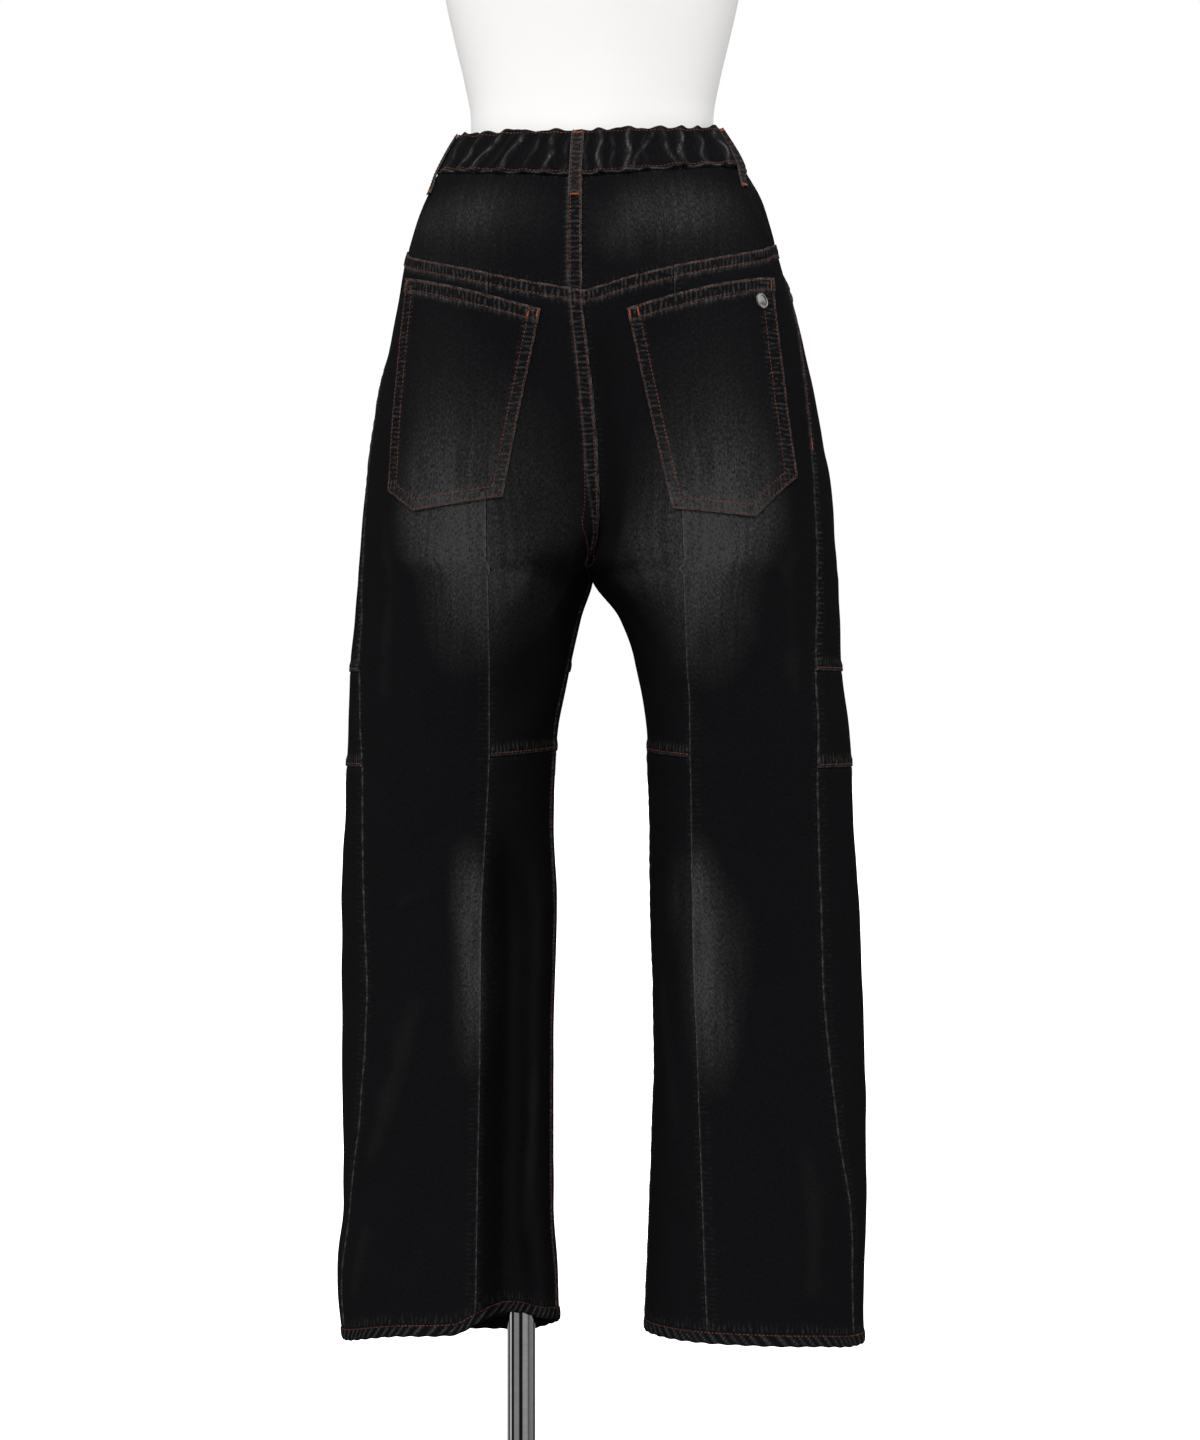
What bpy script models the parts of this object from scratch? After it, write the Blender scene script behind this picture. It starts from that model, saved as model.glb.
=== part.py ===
"""Wide-leg jeans in faded black denim, hanging on a white torso form with a pole and a base plate.

Metres, +Z up. The garment's front faces -Y and the wearer's left is +X. The origin is the centre of
the base plate's underside.

Each leg's cloth is one skin, read at two coordinates. The way round, q, is 0 at the centre back or the
inseam, 1 at the outseam and 2 at the centre front or the inseam again. The height is z. Every panel is
a stretch of that skin with its own wall, so neighbours meet along the same lines.
"""

import math

import bmesh
import bpy
import numpy as np
from mathutils import Vector

# Cloth
DENIM_WALL = 0.0022
BAND_WALL = 0.0032
HEM_WALL = 0.0034
HEM_HEIGHT = 0.011
HEM_PROUD = 0.0006
PATCH_WALL = 0.0018
PATCH_LIFT = 0.0008
SEAM_GAP = 0.0003

# Heights that the whole garment shares
CROTCH_Z = 0.830
KNEE_TOP_Z = 0.745
JOIN_HEIGHT = 0.100

# Sections of each leg's skin, hem to waist, in the leg's own outward direction: the outermost x, the
# inseam's x (0 above the crotch), the y of the back's and the front's crowns, and the crowns' x
LEFT_SECTIONS = (
    ("z", "out", "inner", "back", "front", "crown"),
    (0.145, 0.2215, 0.0290, 0.0800, -0.0730, 0.104),
    (0.210, 0.2280, 0.0310, 0.0810, -0.0735, 0.104),
    (0.280, 0.2220, 0.0350, 0.0820, -0.0740, 0.104),
    (0.420, 0.2230, 0.0350, 0.0860, -0.0760, 0.106),
    (0.540, 0.2235, 0.0320, 0.0915, -0.0800, 0.112),
    (0.615, 0.2200, 0.0350, 0.0970, -0.0850, 0.118),
    (0.685, 0.2170, 0.0320, 0.1035, -0.0900, 0.118),
    (0.755, 0.2140, 0.0190, 0.1100, -0.0965, 0.113),
    (0.791, 0.2100, 0.0110, 0.1140, -0.0995, 0.108),
    (0.830, 0.2070, 0.0000, 0.1185, -0.1025, 0.102),
    (0.896, 0.2010, 0.0000, 0.1250, -0.1060, 0.094),
    (0.967, 0.1915, 0.0000, 0.1290, -0.1080, 0.088),
    (1.037, 0.1765, 0.0000, 0.1275, -0.1075, 0.080),
    (1.107, 0.1635, 0.0000, 0.1190, -0.1030, 0.064),
    (1.153, 0.1500, 0.0000, 0.1070, -0.0985, 0.048),
    (1.185, 0.1355, 0.0000, 0.0960, -0.0940, 0.035),
    (1.206, 0.1245, 0.0000, 0.0872, -0.0900, 0.025),
    (1.225, 0.1115, 0.0000, 0.0850, -0.0870, 0.020),
)
RIGHT_SECTIONS = (
    ("z", "out", "inner", "back", "front", "crown"),
    (0.145, 0.2390, 0.0460, 0.0800, -0.0730, 0.140),
    (0.210, 0.2390, 0.0490, 0.0810, -0.0735, 0.140),
    (0.280, 0.2415, 0.0520, 0.0820, -0.0740, 0.140),
    (0.420, 0.2395, 0.0560, 0.0860, -0.0760, 0.140),
    (0.540, 0.2350, 0.0530, 0.0915, -0.0800, 0.138),
    (0.615, 0.2300, 0.0520, 0.0970, -0.0850, 0.136),
    (0.685, 0.2270, 0.0500, 0.1035, -0.0900, 0.132),
    (0.755, 0.2190, 0.0390, 0.1100, -0.0965, 0.124),
    (0.791, 0.2180, 0.0260, 0.1140, -0.0995, 0.118),
    (0.830, 0.2160, 0.0000, 0.1185, -0.1025, 0.110),
    (0.896, 0.2100, 0.0000, 0.1250, -0.1060, 0.100),
    (0.967, 0.1995, 0.0000, 0.1290, -0.1080, 0.092),
    (1.037, 0.1845, 0.0000, 0.1275, -0.1075, 0.082),
    (1.107, 0.1655, 0.0000, 0.1190, -0.1030, 0.066),
    (1.153, 0.1520, 0.0000, 0.1070, -0.0985, 0.050),
    (1.185, 0.1350, 0.0000, 0.0960, -0.0940, 0.035),
    (1.206, 0.1205, 0.0000, 0.0872, -0.0900, 0.025),
    (1.225, 0.1065, 0.0000, 0.0850, -0.0870, 0.020),
)

# The centre seams: a rise curve at the back and at the front that meet at the crotch point
CENTRE_SEAMS = (
    ("z", "back", "front"),
    (0.145, 0.0000, 0.0000),
    (0.830, 0.0000, 0.0000),
    (0.836, 0.0420, -0.0300),
    (0.845, 0.0680, -0.0510),
    (0.858, 0.0880, -0.0690),
    (0.875, 0.1030, -0.0830),
    (0.896, 0.1120, -0.0930),
    (0.925, 0.1180, -0.1000),
    (0.967, 0.1215, -0.1050),
    (1.037, 0.1215, -0.1060),
    (1.107, 0.1150, -0.1020),
    (1.185, 0.0950, -0.0940),
    (1.206, 0.0872, -0.0900),
    (1.225, 0.0850, -0.0870),
)

# How far the centre back seam leans off the middle, wearer's left positive, as the garment hangs
SEAM_LEAN = (
    ("z", "x"),
    (0.145, 0.0000),
    (0.830, 0.0000),
    (0.848, -0.0120),
    (0.864, -0.0190),
    (0.888, -0.0215),
    (0.931, -0.0210),
    (0.973, -0.0180),
    (1.015, -0.0140),
    (1.057, -0.0095),
    (1.100, -0.0080),
    (1.166, -0.0065),
    (1.225, -0.0060),
)
LEAN_REACH = 0.055

# How far the outseam has turned round to the back from the side, in degrees
OUTSEAM_TURN = (
    ("z", "turn"),
    (0.145, 20.0),
    (0.280, 28.0),
    (0.350, 38.0),
    (0.480, 46.0),
    (0.620, 44.0),
    (0.750, 36.0),
    (0.850, 28.0),
    (0.990, 18.0),
    (1.060, 6.0),
    (1.225, 2.0),
)

# The seam down the middle of each leg's back, in the leg's own outward direction
CENTRE_LEG_SEAM = (
    ("z", "left", "right"),
    (0.145, 0.0900, 0.1110),
    (0.300, 0.0877, 0.1050),
    (0.400, 0.0855, 0.1018),
    (0.520, 0.0840, 0.0980),
    (0.680, 0.0758, 0.0970),
    (0.800, 0.0735, 0.0946),
    (0.900, 0.0731, 0.0937),
    (1.070, 0.0711, 0.0872),
    (1.130, 0.0711, 0.0872),
)

# Seam and edge heights round the garment
HEM_EDGE = {
    "left": (
        ("q", "z"),
        (0.00, 0.176), (0.25, 0.182), (0.40, 0.184), (0.52, 0.172), (0.70, 0.168),
        (1.00, 0.156), (1.30, 0.151), (1.70, 0.152), (1.88, 0.165), (2.00, 0.176),
    ),
    "right": (
        ("q", "z"),
        (0.00, 0.170), (0.20, 0.170), (0.50, 0.170), (0.80, 0.167), (1.00, 0.162),
        (1.50, 0.158), (1.85, 0.162), (2.00, 0.170),
    ),
}
KNEE_SEAM = (
    ("q", "z"),
    (0.00, 0.677), (0.45, 0.671), (1.00, 0.662), (1.50, 0.664), (2.00, 0.677),
)
YOKE_SEAM = (
    ("q", "z"),
    (0.00, 1.066), (0.35, 1.084), (0.60, 1.096), (0.80, 1.106), (1.00, 1.116), (2.00, 1.104),
)
WAIST_SEAM = (
    ("q", "z"),
    (0.00, 1.166), (0.35, 1.170), (0.70, 1.178), (1.00, 1.184), (1.50, 1.179), (2.00, 1.170),
)
WAIST_TOP = (
    ("q", "z"),
    (0.00, 1.206), (0.50, 1.209), (1.00, 1.217), (1.50, 1.212), (2.00, 1.205),
)

# Rows of the panels, as fractions between one level and the next
HEM_TO_KNEE_ROWS = 13
KNEE_ROWS = 2
KNEE_TO_CROTCH_ROWS = 3
CROTCH_TO_YOKE = (0.025, 0.06, 0.12, 0.20, 0.30, 0.42, 0.56, 0.71, 0.86, 1.0)
YOKE_TO_WAIST_ROWS = 4

# Columns of the panels and rows of the waistband
INNER_COLUMNS = 6
OUTER_COLUMNS = 8
FRONT_COLUMNS = 11
YOKE_COLUMNS = 13
FACING_COLUMNS = 4
BAND_COLUMNS = 38
BAND_ROWS = 3
BAND_FRONT_COLUMNS = 14
BAND_FRONT_ROWS = 2
BAND_MIDDLE_Z = 1.190

# How closely the skin is read: passes that settle a panel's lines, samples of a half section, the steps
# that give its slope, and a half section's length as a share of the leg's width
PANEL_PASSES = 6
SECTION_SAMPLES = 161
SLOPE_STEP_ROUND = 0.004
SLOPE_STEP_UP = 0.0008
HALF_SECTION_LENGTH = 0.8

# The left leg's back turns inward at its centre-leg seam and hangs recessed from there to the inseam
TUCK_DEPTH = 0.046
TUCK_WIDTH = 0.016
TUCK_TOP_Z = 0.630
TUCK_FULL_Z = 0.520
TUCK_INSEAM_EASE = 0.035

# Large soft folds. Positions are x in the leg's own outward direction, and a positive depth is a ridge.
FOLDS = (
    ("leg", "face", "x_top", "x_bottom", "width", "depth", "z_top", "z_bottom"),
    ("left", "back", 0.180, 0.184, 0.014, -0.0040, 0.880, 0.600),
    ("left", "back", 0.022, 0.052, 0.014, -0.0060, 0.850, 0.690),
    ("left", "back", 0.135, 0.165, 0.020, 0.0030, 0.560, 0.200),
    ("right", "back", 0.022, 0.036, 0.014, -0.0070, 1.050, 0.770),
    ("right", "back", 0.172, 0.186, 0.014, -0.0040, 0.860, 0.740),
    ("right", "back", 0.076, 0.062, 0.012, -0.0050, 0.600, 0.380),
    ("right", "back", 0.165, 0.185, 0.018, -0.0030, 0.540, 0.230),
    ("left", "front", 0.060, 0.090, 0.018, -0.0050, 0.900, 0.700),
    ("left", "front", 0.150, 0.130, 0.018, 0.0040, 0.640, 0.300),
    ("right", "front", 0.060, 0.095, 0.018, -0.0050, 0.900, 0.720),
    ("right", "front", 0.160, 0.140, 0.018, 0.0040, 0.620, 0.280),
)
FOLD_END_SHARE = 0.22
FOLD_SEAM_EASE = 0.012

# Gathers of the elasticated back band: x at the band's top and bottom (wearer's left positive) and height
GATHERS = (
    ("x_top", "x_bottom", "height"),
    (0.100, 0.118, 0.0022),
    (0.082, 0.104, 0.0026),
    (0.061, 0.091, 0.0034),
    (0.051, 0.078, 0.0018),
    (0.043, 0.066, 0.0032),
    (0.030, 0.044, 0.0020),
    (0.018, 0.026, 0.0030),
    (0.006, 0.010, 0.0020),
    (-0.008, -0.008, 0.0022),
    (-0.020, -0.021, 0.0032),
    (-0.031, -0.032, 0.0020),
    (-0.044, -0.045, 0.0034),
    (-0.055, -0.060, 0.0018),
    (-0.066, -0.048, 0.0024),
    (-0.068, -0.084, 0.0026),
    (-0.083, -0.090, 0.0034),
    (-0.096, -0.108, 0.0024),
    (-0.107, -0.126, 0.0030),
)
GATHER_WIDTH = 0.0052
GATHER_RUN_BELOW = 0.4
GATHER_RUN_ABOVE = 0.1

# Back pockets: corners as x (the leg's own outward direction) and z
POCKET_CORNERS = {
    "left": {
        "top_inner": (0.026, 1.050), "top_outer": (0.150, 1.084),
        "low_outer": (0.162, 0.899), "point": (0.137, 0.881), "low_inner": (0.059, 0.892),
    },
    "right": {
        "top_inner": (0.048, 1.049), "top_outer": (0.163, 1.081),
        "low_outer": (0.186, 0.909), "point": (0.154, 0.874), "low_inner": (0.086, 0.881),
    },
}
POCKET_POINT_SHARE = 0.72
POCKET_COLUMNS = 11
POCKET_CROWDING = 1.25
POCKET_ROWS = 8
STUD_RADIUS = 0.0075
STUD_HEIGHT = 0.0022
STUD_SIDES = 16
STUD_X = 0.155
STUD_Z = 1.058
STUD_LIFT = 0.0004

# Belt loops: the way round of each loop's middle at its top and its foot
LOOPS = (
    ("name", "leg", "top", "foot", "gathered"),
    ("belt_loop_centre", "left", 0.030, 0.030, True),
    ("belt_loop_back_left", "left", 0.880, 0.800, True),
    ("belt_loop_back_right", "right", 0.930, 0.810, True),
    ("belt_loop_front_left", "left", 1.650, 1.610, False),
    ("belt_loop_front_right", "right", 1.650, 1.610, False),
)
LOOP_WIDTH = 0.011
LOOP_WALL = 0.0018
LOOP_BULGE = 0.0016
LOOP_BELOW_SEAM = 0.019
LOOP_BELOW_TOP = 0.001
LOOP_GATHER_REACH = 1.3
LOOP_ROWS = 7

# Front pocket mouth and fly
MOUTH_SHARE = 0.40
MOUTH_CURVE = 0.60
MOUTH_FRACTION_ROW = 0.86
FLY_Q = 1.9
FLY_WIDTH = 0.036
FLY_LENGTH = 0.150
FLY_INSET = 0.0012
FLY_BELOW_SEAM = 0.002
FLY_STRAIGHT_SHARE = 0.6
FLY_NARROWING = 0.8
FLY_COLUMNS = 3
FLY_ROWS = 7

# Rivets and button
RIVET_RADIUS = 0.0046
RIVET_HEIGHT = 0.0016
RIVET_SIDES = 12
SIDE_RIVET_Q = 1.05
SIDE_RIVET_DROP = 0.004
SIDE_RIVET_LIFT = -0.0002
WAIST_RIVET_Q = 1.45
WAIST_RIVET_DROP = 0.008
BUTTON_RADIUS = 0.0085
BUTTON_HEIGHT = 0.0030
BUTTON_SIDES = 20
BUTTON_X = 0.014
METAL_LIFT = 0.0005

# A domed stud's outline, as shares of its radius and height
STUD_PROFILE = ((0.55, 0.0), (0.96, 0.0), (1.0, 0.35), (0.78, 0.8), (0.36, 1.0))

# Torso form: an ellipse at each height
FORM_SECTIONS = (
    ("z", "half_width", "half_depth"),
    (0.8560, 0.0300, 0.0200),
    (0.8580, 0.0600, 0.0400),
    (0.8650, 0.0920, 0.0600),
    (0.8800, 0.1180, 0.0740),
    (0.9050, 0.1400, 0.0860),
    (0.9400, 0.1540, 0.0940),
    (0.9900, 0.1580, 0.0980),
    (1.0600, 0.1500, 0.0975),
    (1.1200, 0.1320, 0.0930),
    (1.1700, 0.1160, 0.0870),
    (1.2060, 0.1075, 0.0841),
    (1.2300, 0.1070, 0.0830),
    (1.2600, 0.1120, 0.0835),
    (1.3000, 0.1215, 0.0860),
    (1.3380, 0.1300, 0.0890),
    (1.3900, 0.1380, 0.0920),
    (1.4200, 0.1370, 0.0915),
    (1.4330, 0.1260, 0.0840),
    (1.4400, 0.1000, 0.0660),
    (1.4430, 0.0500, 0.0330),
)
FORM_SIDES = 28

# Pole, collar and base plate
POLE_X = 0.0660
POLE_Y = -0.0180
POLE_RADIUS = 0.0125
POLE_TOP_Z = 0.950
SOCKET_CLEARANCE = 0.0004
SOCKET_OVERRUN = 0.02
POLE_SIDES = 24
BASE_RADIUS = 0.180
BASE_THICKNESS = 0.006
BASE_BEVEL = 0.0015
BASE_SIDES = 64
COLLAR_RADIUS = 0.026
COLLAR_HEIGHT = 0.022
COLLAR_PROFILE = ((1.0, 0.0), (1.0, 0.7), (0.72, 1.0))

DENIM = ("denim", (0.012, 0.012, 0.014), 0.92, 0.0)
SILVER = ("silver metal", (0.62, 0.62, 0.60), 0.30, 1.0)
WHITE = ("white form", (0.82, 0.81, 0.79), 0.55, 0.0)
CHROME = ("chrome", (0.60, 0.60, 0.61), 0.12, 1.0)
STEEL = ("brushed steel", (0.42, 0.42, 0.43), 0.32, 1.0)

OUTWARD = {"left": 1.0, "right": -1.0}
SECTIONS = {"left": LEFT_SECTIONS, "right": RIGHT_SECTIONS}


def ease(share):
    """A smooth step from 0 to 1."""
    share = np.clip(share, 0.0, 1.0)
    return share * share * (3.0 - 2.0 * share)


def along(table, column, place):
    """A smooth curve through a named column of a table, which never overshoots its rows."""
    names, *rows = table
    knots = np.array([row[0] for row in rows])
    values = np.array([row[names.index(column)] for row in rows])
    step = np.diff(knots)
    secant = np.diff(values) / step
    slope = np.concatenate(([secant[0]], np.zeros(len(secant) - 1), [secant[-1]]))
    product = secant[1:] * secant[:-1]
    steady = product > 0
    slope[1:-1][steady] = 2.0 * product[steady] / (secant[1:] + secant[:-1])[steady]
    index = np.clip(np.searchsorted(knots, place) - 1, 0, len(step) - 1)
    t = np.clip((place - knots[index]) / step[index], 0.0, 1.0)
    start = (1 + 2 * t) * (1 - t) ** 2 * values[index] + t * (1 - t) ** 2 * step[index] * slope[index]
    end = t * t * (3 - 2 * t) * values[index + 1] + t * t * (t - 1) * step[index] * slope[index + 1]
    return start + end


def quarter_length(a, b):
    """About the length of a quarter of an ellipse."""
    return 0.5 * math.pi * np.sqrt(0.5 * (a * a + b * b))


def lean(leg, x, z):
    """How far the centre back seam's lean moves a point that is x from the middle, outward on its leg."""
    return OUTWARD[leg] * along(SEAM_LEAN, "x", z) * (1.0 - np.clip(x / LEAN_REACH, 0.0, 1.0) ** 2) ** 2


def half_section(leg, face, share, z):
    """A point of the back or the front, share 0 at the centre or inseam to 1 at the side."""
    table = SECTIONS[leg]
    out = along(table, "out", z)
    inner = along(table, "inner", z)
    crown_y = along(table, face, z)
    crown_x = along(table, "crown", z)
    start_y = along(CENTRE_SEAMS, face, z)
    joined = ease((z - CROTCH_Z) / JOIN_HEIGHT)
    inner_length = joined * crown_x + (1 - joined) * quarter_length(crown_x - inner, crown_y - start_y)
    outer_length = quarter_length(out - crown_x, crown_y)
    split = inner_length / (inner_length + outer_length)
    first = np.clip(share / split, 0.0, 1.0)
    second = np.clip((share - split) / (1.0 - split), 0.0, 1.0)
    angle = 0.5 * math.pi * first
    round_x = inner + (crown_x - inner) * (1.0 - np.cos(angle))
    round_y = start_y + (crown_y - start_y) * np.sin(angle)
    flat_x = crown_x * first
    flat_y = start_y + (crown_y - start_y) * ease(first)
    turn = 0.5 * math.pi * second
    x = np.where(share < split, joined * flat_x + (1 - joined) * round_x,
                 crown_x + (out - crown_x) * np.sin(turn))
    y = np.where(share < split, joined * flat_y + (1 - joined) * round_y, crown_y * np.cos(turn))
    if face == "back":
        x = x + lean(leg, x, z)
    outseam = split + (1.0 - split) * (1.0 - along(OUTSEAM_TURN, "turn", z) / 90.0)
    return x, y, outseam


def fold_depth(leg, face, x, z):
    """How far the folds of one face move the skin outward at x, z."""
    depth = np.zeros_like(x)
    for fold_leg, fold_face, x_top, x_bottom, width, height, z_top, z_bottom in FOLDS[1:]:
        if fold_leg != leg or fold_face != face:
            continue
        share = (z_top - z) / (z_top - z_bottom)
        middle = x_top + (x_bottom - x_top) * np.clip(share, 0.0, 1.0)
        fade = ease(share / FOLD_END_SHARE) * ease((1.0 - share) / FOLD_END_SHARE)
        depth += height * fade * np.exp(-((x - middle) / width) ** 2)
    return depth


def gather_height(x, z, low, high):
    """How far the gathers lift the back band at x between its bottom and its top."""
    share = np.clip((z - low) / (high - low), -GATHER_RUN_BELOW, 1.0 + GATHER_RUN_ABOVE)
    lift = np.zeros_like(x)
    for x_top, x_bottom, height in GATHERS[1:]:
        middle = x_bottom + (x_top - x_bottom) * share
        lift = np.maximum(lift, height * np.exp(-((x - middle) / GATHER_WIDTH) ** 2))
    return lift


def skin_point(leg, q, z):
    """A point of one leg's skin, without gathers."""
    q = np.clip(q, 0.0, 2.0)
    outseam = half_section(leg, "back", np.zeros_like(q), z)[2]
    way = np.where(q < 1.0, q * outseam, outseam + (q - 1.0) * (2.0 - outseam))
    back_x, back_y, _ = half_section(leg, "back", np.clip(way, 0.0, 1.0), z)
    front_x, front_y, _ = half_section(leg, "front", np.clip(2.0 - way, 0.0, 1.0), z)
    behind = way < 1.0
    x = np.where(behind, back_x, front_x)
    y = np.where(behind, back_y, front_y)
    seam_ease = ease((x - along(SECTIONS[leg], "inner", z)) / FOLD_SEAM_EASE)
    y = y + np.where(behind, fold_depth(leg, "back", x, z), -fold_depth(leg, "front", x, z)) * seam_ease
    if leg == "left":
        inner = along(LEFT_SECTIONS, "inner", z)
        ridge = along(CENTRE_LEG_SEAM, "left", z)
        tuck = TUCK_DEPTH * ease((TUCK_TOP_Z - z) / (TUCK_TOP_Z - TUCK_FULL_Z))
        tuck = tuck * ease((ridge - x) / TUCK_WIDTH) * ease((x - inner) / TUCK_INSEAM_EASE)
        y = y - np.where(behind, tuck, 0.0)
    return np.stack((OUTWARD[leg] * x, y, z + 0.0 * x), axis=-1)


def skin(leg, q, z, lift=0.0):
    """Points of one leg's skin, moved out along its normal by lift."""
    q, z, lift = np.broadcast_arrays(np.asarray(q, float), np.asarray(z, float), np.asarray(lift, float))
    along_q = skin_point(leg, q + SLOPE_STEP_ROUND, z) - skin_point(leg, q - SLOPE_STEP_ROUND, z)
    along_z = skin_point(leg, q, z + SLOPE_STEP_UP) - skin_point(leg, q, z - SLOPE_STEP_UP)
    normal = np.cross(along_q, along_z) * -OUTWARD[leg]
    normal /= np.linalg.norm(normal, axis=-1, keepdims=True)
    return skin_point(leg, q, z) + normal * lift[..., None]


def q_at(leg, face, x, z):
    """The way round at which the skin of one face has the outward distance x at height z."""
    shares = np.linspace(0.0, 1.0, SECTION_SAMPLES)
    x, z = np.broadcast_arrays(np.asarray(x, float), np.asarray(z, float))
    result = np.zeros(x.shape)
    for index in np.ndindex(x.shape):
        level = np.full_like(shares, z[index])
        xs, _, outseam = half_section(leg, face, shares, level)
        share = np.interp(x[index], xs, shares)
        way = share if face == "back" else 2.0 - share
        seam = outseam[0]
        result[index] = way / seam if way < seam else 1.0 + (way - seam) / (2.0 - seam)
    return result


def centre_leg_q(leg, z):
    """The way round of the centre-leg seam."""
    return q_at(leg, "back", along(CENTRE_LEG_SEAM, leg, z), z)


def hem_edge(leg, q):
    """The height of the hem's lower edge."""
    return along(HEM_EDGE[leg], "z", q)


def level_heights(leg, q):
    """The heights of the rows that all panels share, hem top first, for each q, and the row of each seam."""
    hem = hem_edge(leg, q) + HEM_HEIGHT + SEAM_GAP
    knee = along(KNEE_SEAM, "z", q)
    knee_top = np.full_like(q, KNEE_TOP_Z)
    crotch = np.full_like(q, CROTCH_Z)
    yoke = along(YOKE_SEAM, "z", q)
    waist = along(WAIST_SEAM, "z", q)
    steps = (
        (hem, knee, np.arange(1, HEM_TO_KNEE_ROWS + 1) / HEM_TO_KNEE_ROWS),
        (knee, knee_top, np.arange(1, KNEE_ROWS + 1) / KNEE_ROWS),
        (knee_top, crotch, np.arange(1, KNEE_TO_CROTCH_ROWS + 1) / KNEE_TO_CROTCH_ROWS),
        (crotch, yoke, np.array(CROTCH_TO_YOKE)),
        (yoke, waist, np.arange(1, YOKE_TO_WAIST_ROWS + 1) / YOKE_TO_WAIST_ROWS),
    )
    rows = [hem]
    for low, high, shares in steps:
        rows.extend(low + (high - low) * share for share in shares)
    return np.array(rows)


ROW_KNEE = HEM_TO_KNEE_ROWS
ROW_KNEE_TOP = ROW_KNEE + KNEE_ROWS
ROW_CROTCH = ROW_KNEE_TOP + KNEE_TO_CROTCH_ROWS
ROW_MOUTH = ROW_CROTCH + CROTCH_TO_YOKE.index(MOUTH_FRACTION_ROW) + 1
ROW_YOKE = ROW_CROTCH + len(CROTCH_TO_YOKE)
ROW_WAIST = ROW_YOKE + YOKE_TO_WAIST_ROWS


def material(name, colour, roughness, metallic):
    """A plain Principled material."""
    made = bpy.data.materials.new(name)
    made.use_nodes = True
    shader = made.node_tree.nodes["Principled BSDF"]
    shader.inputs["Base Color"].default_value = (*colour, 1.0)
    shader.inputs["Roughness"].default_value = roughness
    shader.inputs["Metallic"].default_value = metallic
    made.diffuse_color = (*colour, 1.0)
    return made


def finish_object(name, mesh, finish, sharp_degrees=40.0):
    """Link a mesh as a named object with its own material and smooth shading."""
    made = bpy.data.objects.new(name, mesh)
    bpy.context.scene.collection.objects.link(made)
    mesh.materials.append(material(f"{name} {finish[0]}", *finish[1:]))
    mesh.shade_smooth()
    mesh.set_sharp_from_angle(angle=math.radians(sharp_degrees))
    return made


def mesh_from(name, points, faces):
    """A mesh with its faces turned outward."""
    mesh = bpy.data.meshes.new(name)
    mesh.from_pydata([tuple(point) for point in points], [], faces)
    work = bmesh.new()
    work.from_mesh(mesh)
    bmesh.ops.recalc_face_normals(work, faces=work.faces)
    work.to_mesh(mesh)
    work.free()
    return mesh


def wall(name, outer, inner, finish, ring=False):
    """A solid between two grids of points, rows by columns. A ring closes its columns."""
    rows, columns = outer.shape[:2]
    points = np.concatenate((outer.reshape(-1, 3), inner.reshape(-1, 3)))
    offset = rows * columns
    last = columns if ring else columns - 1
    faces = []
    for row in range(rows - 1):
        for column in range(last):
            after = (column + 1) % columns
            quad = (row * columns + column, row * columns + after,
                    (row + 1) * columns + after, (row + 1) * columns + column)
            faces.append(quad)
            faces.append(tuple(offset + corner for corner in reversed(quad)))
    for row in (0, rows - 1):
        for column in range(last):
            a = row * columns + column
            b = row * columns + (column + 1) % columns
            faces.append((a, b, offset + b, offset + a))
    if not ring:
        for column in (0, columns - 1):
            for row in range(rows - 1):
                a = row * columns + column
                b = (row + 1) * columns + column
                faces.append((a, b, offset + b, offset + a))
    return finish_object(name, mesh_from(name, points, faces), finish)


def panel_grid(leg, first_row, last_row, first_q, last_q, columns):
    """The q and z grids of a panel between two shared rows and two lines of the way round."""
    shares = np.linspace(0.0, 1.0, columns + 1)
    q = np.tile(first_q(np.full(1, CROTCH_Z)) * (1 - shares) + last_q(np.full(1, CROTCH_Z)) * shares,
                (last_row - first_row + 1, 1))
    for _ in range(PANEL_PASSES):
        z = np.stack([level_heights(leg, q[row])[first_row + row] for row in range(len(q))])
        q = first_q(z) * (1 - shares) + last_q(z) * shares
    return q, z


def panel(name, leg, first_row, last_row, first_q, last_q, columns):
    """One cut piece of denim."""
    q, z = panel_grid(leg, first_row, last_row, first_q, last_q, columns)
    z[0] += 0.5 * SEAM_GAP
    z[-1] -= 0.5 * SEAM_GAP
    return wall(name, skin(leg, q, z), skin(leg, q, z, -DENIM_WALL), DENIM)


def gap_share(leg, z):
    """Half of a seam gap as a share of the way round."""
    width = along(SECTIONS[leg], "out", z) - along(SECTIONS[leg], "inner", z)
    return 0.5 * SEAM_GAP / (HALF_SECTION_LENGTH * width)


def mouth_q(leg, z):
    """The edge of the front pocket's mouth, from the outseam up to the waist seam."""
    low = level_heights(leg, np.ones(1))[ROW_MOUTH][0]
    high = along(WAIST_SEAM, "z", np.array([1.0 + MOUTH_SHARE]))[0]
    return 1.0 + MOUTH_SHARE * np.clip((z - low) / (high - low), 0.0, 1.0) ** MOUTH_CURVE


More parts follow.
